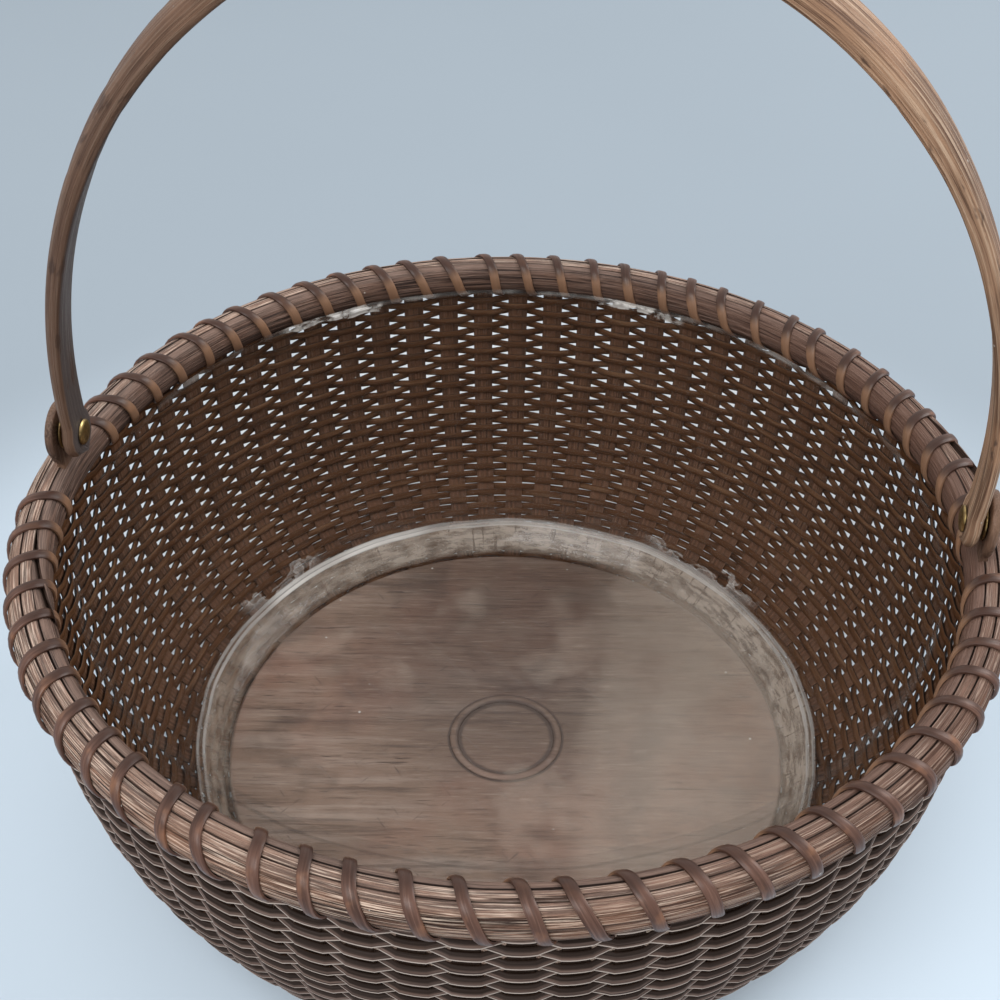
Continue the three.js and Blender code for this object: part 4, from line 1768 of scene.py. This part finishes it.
@dataclass
class SwingHandle:
    """The bent handle with its round ends, and the ears, rivets and washers that carry it."""

    pivot_height: float = PIVOT_HEIGHT
    span: float = 116.3 * MM
    rise: float = 160 * MM
    bias: float = 6 * MM
    tilt: float = math.radians(11.0)
    width: float = 11.5 * MM
    end_width: float = 10.4 * MM
    thickness: float = 5.5 * MM
    end_thickness: float = 3.9 * MM
    eye_radius: float = 7 * MM
    least_eye: float = 0.5 * MM
    hole_radius: float = 2.1 * MM
    hole_sides: int = 24
    arch_points: int = 721
    drop_points: int = 24
    steps: int = 150
    taper_share: float = 0.35
    swell_share: float = 0.04
    swell_cell: float = 33 * MM
    hollow_share: float = 0.05
    hollow_cell: float = 27 * MM
    scar_level: float = 0.45
    scar_share: float = 0.22
    scar_cell: float = 8 * MM
    ear_outer: float = 121.7 * MM
    ear_thickness: float = 2.2 * MM
    ear_head: float = 8 * MM
    ear_neck: float = 8 * MM
    ear_foot: float = 90 * MM
    ear_sweep: float = 3.2 * MM
    ear_sweep_drop: float = 1.5 * MM
    ear_ease: float = 0.45 * MM
    ear_edge_angle: float = 1.2
    ear_edge_length: float = 6 * MM
    turned_steps: int = 40
    rivet_radius: float = 1.8 * MM
    rivet_head: float = 4 * MM
    rivet_rise: float = 1.6 * MM
    rivet_gap: float = 0.1 * MM
    rivet_brim: float = 0.3 * MM
    tail_radius: float = 3.5 * MM
    tail_inner: float = 113.0 * MM
    tail_outer: float = 114.0 * MM
    washer_radius: float = 5 * MM
    washer_inner: float = 118.6 * MM
    washer_outer: float = 119.2 * MM
    washer_ease: float = 0.15 * MM

    def build(self) -> None:
        """Makes and dresses the handle and both of its hinges."""
        dress(self.handle(), Body.HANDLE, Slot.HANDLE, HANDLE_WOOD.material(), "handle")
        wood = EAR_WOOD.material()
        brass = DulledBrass().material()
        for side, turn in (("right", 0.0), ("left", math.pi)):
            ear = self.ear("ear_plate_" + side, turn)
            dress(ear, Body.BASKET, Slot.EAR, wood, "ear_" + side)
            rivet = self.rivet("rivet_brass_" + side, turn)
            dress(rivet, Body.BASKET, Slot.BRASS, brass, "rivet_" + side)
            washer = self.washer("washer_brass_" + side, turn)
            dress(washer, Body.BASKET, Slot.BRASS, brass, "washer_" + side)

    def middle(self) -> tuple[Array, Array, Array]:
        """Draws the handle's middle line in its own plane, from below the right rivet to the left one.

        Returns:
            The length along it, and the place out and up of each point.
        """
        arch = np.linspace(0.0, math.pi, self.arch_points)
        out = self.span * np.cos(arch) + self.bias * np.sin(arch)
        rise = self.rise * np.sin(arch)
        drop = np.linspace(-self.eye_radius, 0.0, self.drop_points)[:-1]
        out = np.concatenate([np.full_like(drop, self.span), out, np.full_like(drop, -self.span)])
        rise = np.concatenate([drop, rise, drop[::-1]])
        place = np.concatenate([[0.0], np.cumsum(np.hypot(np.diff(out), np.diff(rise)))])
        return place, out, rise

    def handle(self) -> bpy.types.Object:
        """Bends the handle, with a crowned outer face, worn edges and scars of removed bark.

        Returns:
            The piece.
        """
        section = self.handle_section()
        place, out, rise = self.middle()
        length = float(place[-1])
        bar = straight_bar(section, length, self.steps)
        piece = finish_mesh("handle_bent", bar, math.radians(60.0))
        slope_out, slope_rise = np.gradient(out, place), np.gradient(rise, place)
        swell, hollow = Wander(41, 64), Wander(42, 64)
        scars = [Wander(50 + number, 64) for number in range(len(section))]

        def lay(straight: Array) -> Array:
            """Bends the bar over the arch, gives it its real width, and leans it to the front.

            Args:
                straight: places on the straight bar.

            Returns:
                Their places on the basket.
            """
            along = straight[:, 0]
            from_end = np.minimum(along, length - along)
            over = from_end - self.eye_radius
            full = np.clip(over / (self.taper_share * length), 0.0, 1.0)
            full = full * full * (3.0 - 2.0 * full)
            width = self.end_width + (self.width - self.end_width) * full
            width = width * (1.0 + self.swell_share * swell.at(along / self.swell_cell) * full)
            eye = 2.0 * np.sqrt(np.clip(self.eye_radius**2 - over**2, self.least_eye**2, None))
            round_end = np.where(over < 0.0, eye, np.maximum(width, eye))
            thickness = self.end_thickness + (self.thickness - self.end_thickness) * full
            sunk = self.hollow_share * hollow.at(along / self.hollow_cell) * full
            thickness = thickness * (1.0 + sunk)
            line = nearest_corner(section, straight[:, 1], straight[:, 2])
            scar = np.zeros_like(along)
            for number, wander in enumerate(scars):
                chosen = line == number
                depth = wander.at(along[chosen] / self.scar_cell) - self.scar_level
                scar[chosen] = np.clip(depth, 0.0, None)
            across = straight[:, 1] * round_end
            through = straight[:, 2] * thickness * (1.0 - self.scar_share * scar * full)
            middle_out, middle_rise = np.interp(along, place, out), np.interp(along, place, rise)
            go_out, go_rise = np.interp(along, place, slope_out), np.interp(along, place, slope_rise)
            size = np.hypot(go_out, go_rise)
            x = middle_out + through * go_rise / size
            up = middle_rise - through * go_out / size
            points = np.stack([x, -across, up], axis=1)
            lean = np.array(Matrix.Rotation(self.tilt, 3, "X"))
            return points @ lean.T + np.array([0.0, 0.0, self.pivot_height])

        bend(piece, lay, self.width, self.thickness)
        self.drill(piece, self.tilt)
        return piece

    @staticmethod
    def handle_section() -> Section:
        """Draws the handle's section for a width and a thickness of 1.

        Returns:
            The section's corners: flat inside and crowned outside.
        """
        low = [(-0.36, -0.5), (-0.18, -0.5), (0.0, -0.5), (0.18, -0.5), (0.36, -0.5)]
        right = arc((0.36, -0.14), (0.14, 0.36), -90.0, 0.0, 4)[1:] + [(0.5, 0.08)]
        high = [(0.475, 0.26), (0.40, 0.385), (0.27, 0.45), (0.13, 0.485), (0.0, 0.5)]
        mirrored = [(-across, through) for across, through in reversed(right + high[:-1])]
        return [*low, *right, *high, *mirrored]

    def drill(self, piece: bpy.types.Object, turn: float) -> None:
        """Cuts the rivets' holes through a piece, along X at the pivot's height.

        Args:
            piece: the piece, across both sides or on one.
            turn: angle of the drill's sides about its own axis.
        """
        bm = bmesh.new()
        bmesh.ops.create_cone(
            bm,
            cap_ends=True,
            segments=self.hole_sides,
            radius1=self.hole_radius,
            radius2=self.hole_radius,
            depth=4.0 * self.span,
        )
        turned = Matrix.Rotation(math.pi / 2.0, 4, "Y") @ Matrix.Rotation(turn, 4, "Z")
        place = Matrix.Translation((0.0, 0.0, self.pivot_height)) @ turned
        bmesh.ops.transform(bm, matrix=place, verts=bm.verts)
        drill = finish_mesh("drill", bm)
        cut = piece.modifiers.new("hole", "BOOLEAN")
        cut.object = drill
        cut.operation = "DIFFERENCE"
        cut.solver = "EXACT"
        graph = bpy.context.evaluated_depsgraph_get()
        made = bpy.data.meshes.new_from_object(piece.evaluated_get(graph))
        piece.modifiers.remove(cut)
        self.keep_run(piece.data, made)
        piece.data = made
        bpy.data.objects.remove(drill)

    @staticmethod
    def keep_run(before: bpy.types.Mesh, after: bpy.types.Mesh) -> None:
        """Gives each point of a cut mesh the straight place of the nearest point that it had before.

        Args:
            before: the mesh before the cut.
            after: the mesh after it.
        """
        old = np.empty(len(before.vertices) * 3)
        before.vertices.foreach_get("co", old)
        straight = np.empty(len(before.vertices) * 3)
        before.attributes[RUN].data.foreach_get("vector", straight)
        straight = straight.reshape(-1, 3)
        tree = KDTree(len(before.vertices))
        for number, point in enumerate(old.reshape(-1, 3)):
            tree.insert(point, number)
        tree.balance()
        nearest = [tree.find(vert.co)[1] for vert in after.vertices]
        run = after.attributes.get(RUN) or after.attributes.new(RUN, "FLOAT_VECTOR", "POINT")
        run.data.foreach_set("vector", straight[nearest].astype(np.float32).ravel())

    def ear(self, name: str, turn: float) -> bpy.types.Object:
        """Shapes one ear: a plate with a round head on a neck that stands between the hoops.

        Args:
            name: the piece's name.
            turn: 0 for the right ear and half a turn for the left one.

        Returns:
            The piece.
        """
        neck = self.ear_neck / 2.0
        shoulder = self.pivot_height - self.ear_head
        bend_start = shoulder - self.ear_sweep_drop
        sweep = (self.ear_head - neck, self.ear_sweep)
        outline = [(-neck, self.ear_foot), (neck, self.ear_foot), (neck, bend_start)]
        outline += arc((self.ear_head, bend_start), sweep, 180.0, 130.0, 4)[1:]
        outline += arc((0.0, self.pivot_height), (self.ear_head, self.ear_head), -30.0, 210.0, 30)
        outline += [(-across, up) for across, up in reversed(outline[3:7])]
        outline.append((-neck, bend_start))
        bm = bmesh.new()
        inner = self.ear_outer - self.ear_thickness
        verts = [bm.verts.new((inner, across, up)) for across, up in outline]
        face = bm.faces.new(verts)
        grown = bmesh.ops.extrude_face_region(bm, geom=[face])
        raised = [item for item in grown["geom"] if isinstance(item, bmesh.types.BMVert)]
        bmesh.ops.translate(bm, verts=raised, vec=(self.ear_thickness, 0.0, 0.0))
        bmesh.ops.recalc_face_normals(bm, faces=bm.faces)
        sharp = [edge for edge in bm.edges if edge.calc_face_angle(0.0) > self.ear_edge_angle]
        rim = [edge for edge in sharp if edge.calc_length() < self.ear_edge_length]
        bmesh.ops.bevel(
            bm, geom=rim, offset=self.ear_ease, segments=2, profile=0.5, affect="EDGES", material=-1
        )
        piece = finish_mesh(name, bm)
        bend(piece, lambda straight: straight)
        run = piece.data.attributes[RUN]
        places = np.empty(len(piece.data.vertices) * 3)
        run.data.foreach_get("vector", places)
        places = places.reshape(-1, 3)[:, [2, 1, 0]]
        run.data.foreach_set("vector", places.astype(np.float32).ravel())
        self.drill(piece, 0.0)
        piece.data.transform(Matrix.Rotation(turn, 4, "Z"))
        return piece

    def across_x(self, bm: bmesh.types.BMesh, name: str, turn: float) -> bpy.types.Object:
        """Turns a shape from Z to X, to the pivot's height, and to its side of the basket.

        Args:
            bm: the shape, turned about Z.
            name: the piece's name.
            turn: 0 for the right side and half a turn for the left one.

        Returns:
            The piece.
        """
        place = Matrix.Rotation(turn, 4, "Z") @ Matrix.Translation((0.0, 0.0, self.pivot_height))
        place = place @ Matrix.Rotation(math.pi / 2.0, 4, "Y")
        bmesh.ops.transform(bm, matrix=place, verts=bm.verts)
        return finish_mesh(name, bm, math.radians(35.0))

    def rivet(self, name: str, turn: float) -> bpy.types.Object:
        """Turns one rivet with a domed head outside and a spread tail inside.

        Args:
            name: the piece's name.
            turn: 0 for the right rivet and half a turn for the left one.

        Returns:
            The piece.
        """
        base = self.ear_outer + self.rivet_gap
        radii = (self.rivet_head, self.rivet_rise - self.rivet_brim)
        dome = arc((0.0, base + self.rivet_brim), radii, 0.0, 90.0, 8)
        tail_rise = self.tail_outer - self.tail_inner
        tail = arc((0.0, self.tail_outer), (self.tail_radius, tail_rise), -90.0, 0.0, 6)
        profile = [*tail, (self.rivet_radius, self.tail_outer), (self.rivet_radius, base)]
        profile += [(self.rivet_head, base), *dome[:-1], (0.0, base + self.rivet_rise)]
        profile[0] = (0.0, self.tail_inner)
        return self.across_x(spun(profile, self.turned_steps), name, turn)

    def washer(self, name: str, turn: float) -> bpy.types.Object:
        """Turns one washer with eased edges.

        Args:
            name: the piece's name.
            turn: 0 for the right washer and half a turn for the left one.

        Returns:
            The piece.
        """
        ease = self.washer_ease
        low, high = self.washer_inner, self.washer_outer
        profile = [
            (self.hole_radius, low),
            (self.washer_radius - ease, low),
            (self.washer_radius, low + ease),
            (self.washer_radius, high - ease),
            (self.washer_radius - ease, high),
            (self.hole_radius, high),
        ]
        return self.across_x(spun(profile, self.turned_steps), name, turn)


@dataclass
class Board:
    """The turned base board, with a groove for the staves' feet and a plain raised ring in its middle."""

    radius: float = BOARD_RADIUS
    thickness: float = 9 * MM
    ease: float = 1.2 * MM
    groove_depth: float = 4 * MM
    groove_height: float = 1.8 * MM
    groove_middle: float = 4.5 * MM
    middle_share: float = 0.6
    ring_radius: float = RING_RADIUS
    ring_half: float = 1.3 * MM
    ring_rise: float = 0.7 * MM
    segments: int = 160

    def build(self) -> None:
        """Makes and dresses the board."""
        low = self.groove_middle - self.groove_height / 2.0
        high = self.groove_middle + self.groove_height / 2.0
        bottom = self.radius - self.groove_depth
        eased, edge = (self.ease, self.ease), self.radius - self.ease
        profile = [(0.0, 0.0), *arc((edge, self.ease), eased, -90.0, 0.0, 5)]
        profile += [(self.radius, low), (bottom, low), (bottom, high), (self.radius, high)]
        profile += arc((edge, self.thickness - self.ease), eased, 0.0, 90.0, 5)
        ring = arc((self.ring_radius, self.thickness), (self.ring_half, self.ring_rise), 0.0, 180.0, 8)
        profile += [(self.radius * self.middle_share, self.thickness), *ring, (0.0, self.thickness)]
        board = finish_mesh("board_turned", spun(profile, self.segments), math.radians(40.0))
        wood = BoardWood(self.ring_radius).material()
        dress(board, Body.BASKET, Slot.BOARD, wood, "base_board")


@dataclass
class Liner:
    """The clear liner: a thin bowl on the board with a turned lip that has gone wavy."""

    foot: float = 80 * MM
    lip: float = 112.3 * MM
    lip_turn: float = 0.9 * MM
    lip_depth: float = 1.6 * MM
    top: float = 95.8 * MM
    bottom: float = 9.3 * MM
    thickness: float = 1.4 * MM
    radial_power: float = 1.5
    axial_power: float = 2.1
    segments: int = 180
    side_points: int = 26
    floor_shares: tuple[float, ...] = (0.0, 0.5, 0.93)
    lip_shares: tuple[float, ...] = (1.2, 0.8, 0.3)
    wave: float = 0.35 * MM
    waves: int = 48
    lip_wave_foot: float = 75 * MM
    lip_wave_rise: float = 20 * MM
    lip_draw_share: float = 0.3
    foot_wave_height: float = 16 * MM
    foot_wave_half: float = 12 * MM
    foot_wave_share: float = 1.3
    still_share: float = 0.9

    def build(self) -> None:
        """Makes and dresses the liner."""
        side, depth = self.lip - self.lip_turn, self.top - self.bottom
        bowl = Bowl(self.foot, side, self.top, depth, self.radial_power, self.axial_power)
        rail = Rail.along(bowl, 1.0, 0.0)
        places = rail.length * np.linspace(0.0, 1.0, self.side_points)
        out_radius, out_height = rail.lay(places[:-1], np.zeros(self.side_points - 1))
        in_radius, in_height = rail.lay(places, np.full(self.side_points, -self.thickness))
        outside = list(zip(out_radius.tolist(), out_height.tolist()))
        inside = list(zip(in_radius.tolist(), in_height.tolist()))[::-1]
        clear, low, high = self.lip_shares
        lip = [
            (side, self.top - self.lip_depth),
            (self.lip, self.top - low * self.lip_depth),
            (self.lip, self.top - high * self.lip_depth),
            (self.lip - 0.5 * self.lip_turn, self.top),
        ]
        kept = [pair for pair in outside if pair[1] < self.top - clear * self.lip_depth]
        reaches = [share * self.foot for share in self.floor_shares]
        raised = self.bottom + self.thickness
        floor = [(reach, self.bottom) for reach in reaches]
        profile = [*floor, *kept, *lip, *inside, *[(reach, raised) for reach in reversed(reaches)]]
        piece = finish_mesh("liner_bowl", spun(profile, self.segments))
        self.ruffle(piece)
        dress(piece, Body.LINER, Slot.LINER, ClearSheet(self.top).material(), "clear_liner")

    def ruffle(self, piece: bpy.types.Object) -> None:
        """Lets the lip and the turn at the foot wave a little.

        Args:
            piece: the turned bowl.
        """
        mesh = piece.data
        flat = np.empty(len(mesh.vertices) * 3)
        mesh.vertices.foreach_get("co", flat)
        points = flat.reshape(-1, 3)
        radius = np.hypot(points[:, 0], points[:, 1])
        angle = np.arctan2(points[:, 1], points[:, 0])
        around = (angle + math.pi) / math.tau * self.waves
        lip, foot = Wander(71, self.waves), Wander(72, self.waves)
        near_lip = np.clip((points[:, 2] - self.lip_wave_foot) / self.lip_wave_rise, 0.0, 1.0)
        off_foot = np.abs(points[:, 2] - self.foot_wave_height)
        near_foot = np.clip(1.0 - off_foot / self.foot_wave_half, 0.0, 1.0)
        push = lip.at(around) * near_lip + self.foot_wave_share * foot.at(around) * near_foot
        push = self.wave * (push - self.lip_draw_share * near_lip)
        push = np.where(radius > self.still_share * self.foot, push, 0.0)
        points[:, 0] += push * np.cos(angle)
        points[:, 1] += push * np.sin(angle)
        mesh.vertices.foreach_set("co", points.ravel())
        mesh.update()


@dataclass(frozen=True)
class Lamp:
    """One square lamp: its name, its place, the length of its sides and its power."""

    name: str
    place: Place
    size: float
    watts: float


@dataclass
class Studio:
    """Pale floor, soft lamps, and the camera at the photograph's angle."""

    focal_pixels: float = 1525.0
    picture_pixels: float = 1000.0
    sensor: float = 36.0
    near_clip: float = 0.01
    camera_place: Place = (40.2 * MM, -303.7 * MM, 354.6 * MM)
    heading: float = math.radians(8.0)
    pitch: float = math.radians(39.6)
    roll: float = math.radians(0.62)
    floor_colour: Colour = (0.345, 0.405, 0.465)
    sky_colour: Colour = (0.40, 0.465, 0.53)
    # Painted light round and behind the basket, against its shadow.
    near_painted_light: Colour = (0.64, 0.75, 0.86)
    behind_painted_light: Colour = (0.66, 0.69, 0.72)
    near_reach: Pair = (0.28, 0.13)
    behind_place: Place = (-16 * MM, 119 * MM, 0.0)
    behind_reach: Pair = (0.174, 0.105)
    bounce_colour: Colour = (0.50, 0.49, 0.48)
    floor_half: float = 20.0
    floor_clouds: Patches = Patches(0.3, 0.5, 0.3)
    cloud_shade: float = 0.97
    floor_roughness: float = 0.9
    floor_gloss: float = 0.1
    world_colour: Colour = (0.86, 0.86, 0.85)
    world_strength: float = 0.85
    lamp_aim: Place = (0.0, 0.0, 0.07)
    lamps: tuple[Lamp, ...] = (
        Lamp("key_lamp", (-0.45, -0.95, 1.5), 1.1, 17.0),
        Lamp("fill_lamp", (1.15, 0.75, 1.2), 1.0, 14.0),
    )

    def build(self) -> None:
        """Sets up the camera, the floor, the lamps and the world."""
        self.camera()
        self.floor()
        self.world()
        for lamp in self.lamps:
            self.hang(lamp)

    def camera(self) -> None:
        """Places the camera."""
        data = bpy.data.cameras.new("camera")
        data.sensor_width = self.sensor
        data.lens = self.focal_pixels / self.picture_pixels * self.sensor
        data.clip_start = self.near_clip
        camera = bpy.data.objects.new("camera", data)
        upright = Matrix.Rotation(math.pi / 2.0 - self.pitch, 4, "X")
        turn = Matrix.Rotation(self.heading, 4, "Z") @ upright @ Matrix.Rotation(self.roll, 4, "Z")
        camera.matrix_world = Matrix.Translation(self.camera_place) @ turn
        bpy.context.scene.collection.objects.link(camera)
        bpy.context.scene.camera = camera

    def floor(self) -> None:
        """Lays the floor, with painted light round the basket and behind it, against the basket's shadow;
        what bounces off it on to the basket is neutral.
        """
        bm = bmesh.new()
        bmesh.ops.create_grid(bm, x_segments=2, y_segments=2, size=self.floor_half)
        floor = finish_mesh("floor", bm)
        material, sheet, shader = new_material("floor_paper")
        place = sheet.node("TexCoord").outputs["Object"]
        cloud = self.floor_clouds.on(sheet, place)
        shaded = tuple(part * self.cloud_shade for part in self.floor_colour)
        tone = sheet.mix(self.floor_colour, shaded, cloud)
        away = sheet.node("VectorMath", {0: place}, operation="LENGTH").outputs["Value"]
        # Painted light: paler floor round the basket, against its shadow.
        tone = sheet.mix(tone, self.near_painted_light, sheet.span(away, *self.near_reach))
        # Painted light: paler floor behind the basket, seen through the weave, against its shadow.
        sides = {0: place, 1: self.behind_place}
        moved = sheet.node("VectorMath", sides, operation="DISTANCE").outputs["Value"]
        tone = sheet.mix(tone, self.behind_painted_light, sheet.span(moved, *self.behind_reach))
        seen = sheet.node("LightPath").outputs
        shown = sheet.most(seen["Is Camera Ray"], seen["Is Glossy Ray"])
        shown = sheet.most(shown, seen["Is Transmission Ray"])
        tone = sheet.mix(self.bounce_colour, tone, shown)
        sheet.tree.links.new(tone, shader.inputs["Base Color"])
        shader.inputs["Roughness"].default_value = self.floor_roughness
        shader.inputs["Specular IOR Level"].default_value = self.floor_gloss
        floor.data.materials.append(material)

    def world(self) -> None:
        """Lights all round softly; rays that see past the floor meet the floor's colour."""
        world = bpy.data.worlds.new("room")
        world.use_nodes = True
        bpy.context.scene.world = world
        sheet = Sheet(world.node_tree)
        background = world.node_tree.nodes["Background"]
        seen = sheet.node("LightPath").outputs["Is Camera Ray"]
        colour = sheet.mix(self.world_colour, self.sky_colour, seen)
        sheet.tree.links.new(colour, background.inputs["Color"])
        background.inputs["Strength"].default_value = self.world_strength

    def hang(self, lamp: Lamp) -> None:
        """Hangs one square lamp that looks at the basket.

        Args:
            lamp: the lamp.
        """
        data = bpy.data.lights.new(lamp.name, "AREA")
        data.size = lamp.size
        data.energy = lamp.watts
        hung = bpy.data.objects.new(lamp.name, data)
        aim = Vector(self.lamp_aim) - Vector(lamp.place)
        turn = aim.to_track_quat("-Z", "Y").to_matrix().to_4x4()
        hung.matrix_world = Matrix.Translation(lamp.place) @ turn
        bpy.context.scene.collection.objects.link(hung)


def main() -> None:
    """Builds the studio and every sub-assembly around the frame."""
    logging.basicConfig(level=logging.INFO, format="%(name)s: %(message)s")
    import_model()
    bpy.context.scene.view_settings.view_transform = "Standard"
    Studio().build()
    Wall().build()
    Rim().build()
    SwingHandle().build()
    Board().build()
    Liner().build()


if __name__ == "__main__":
    main()
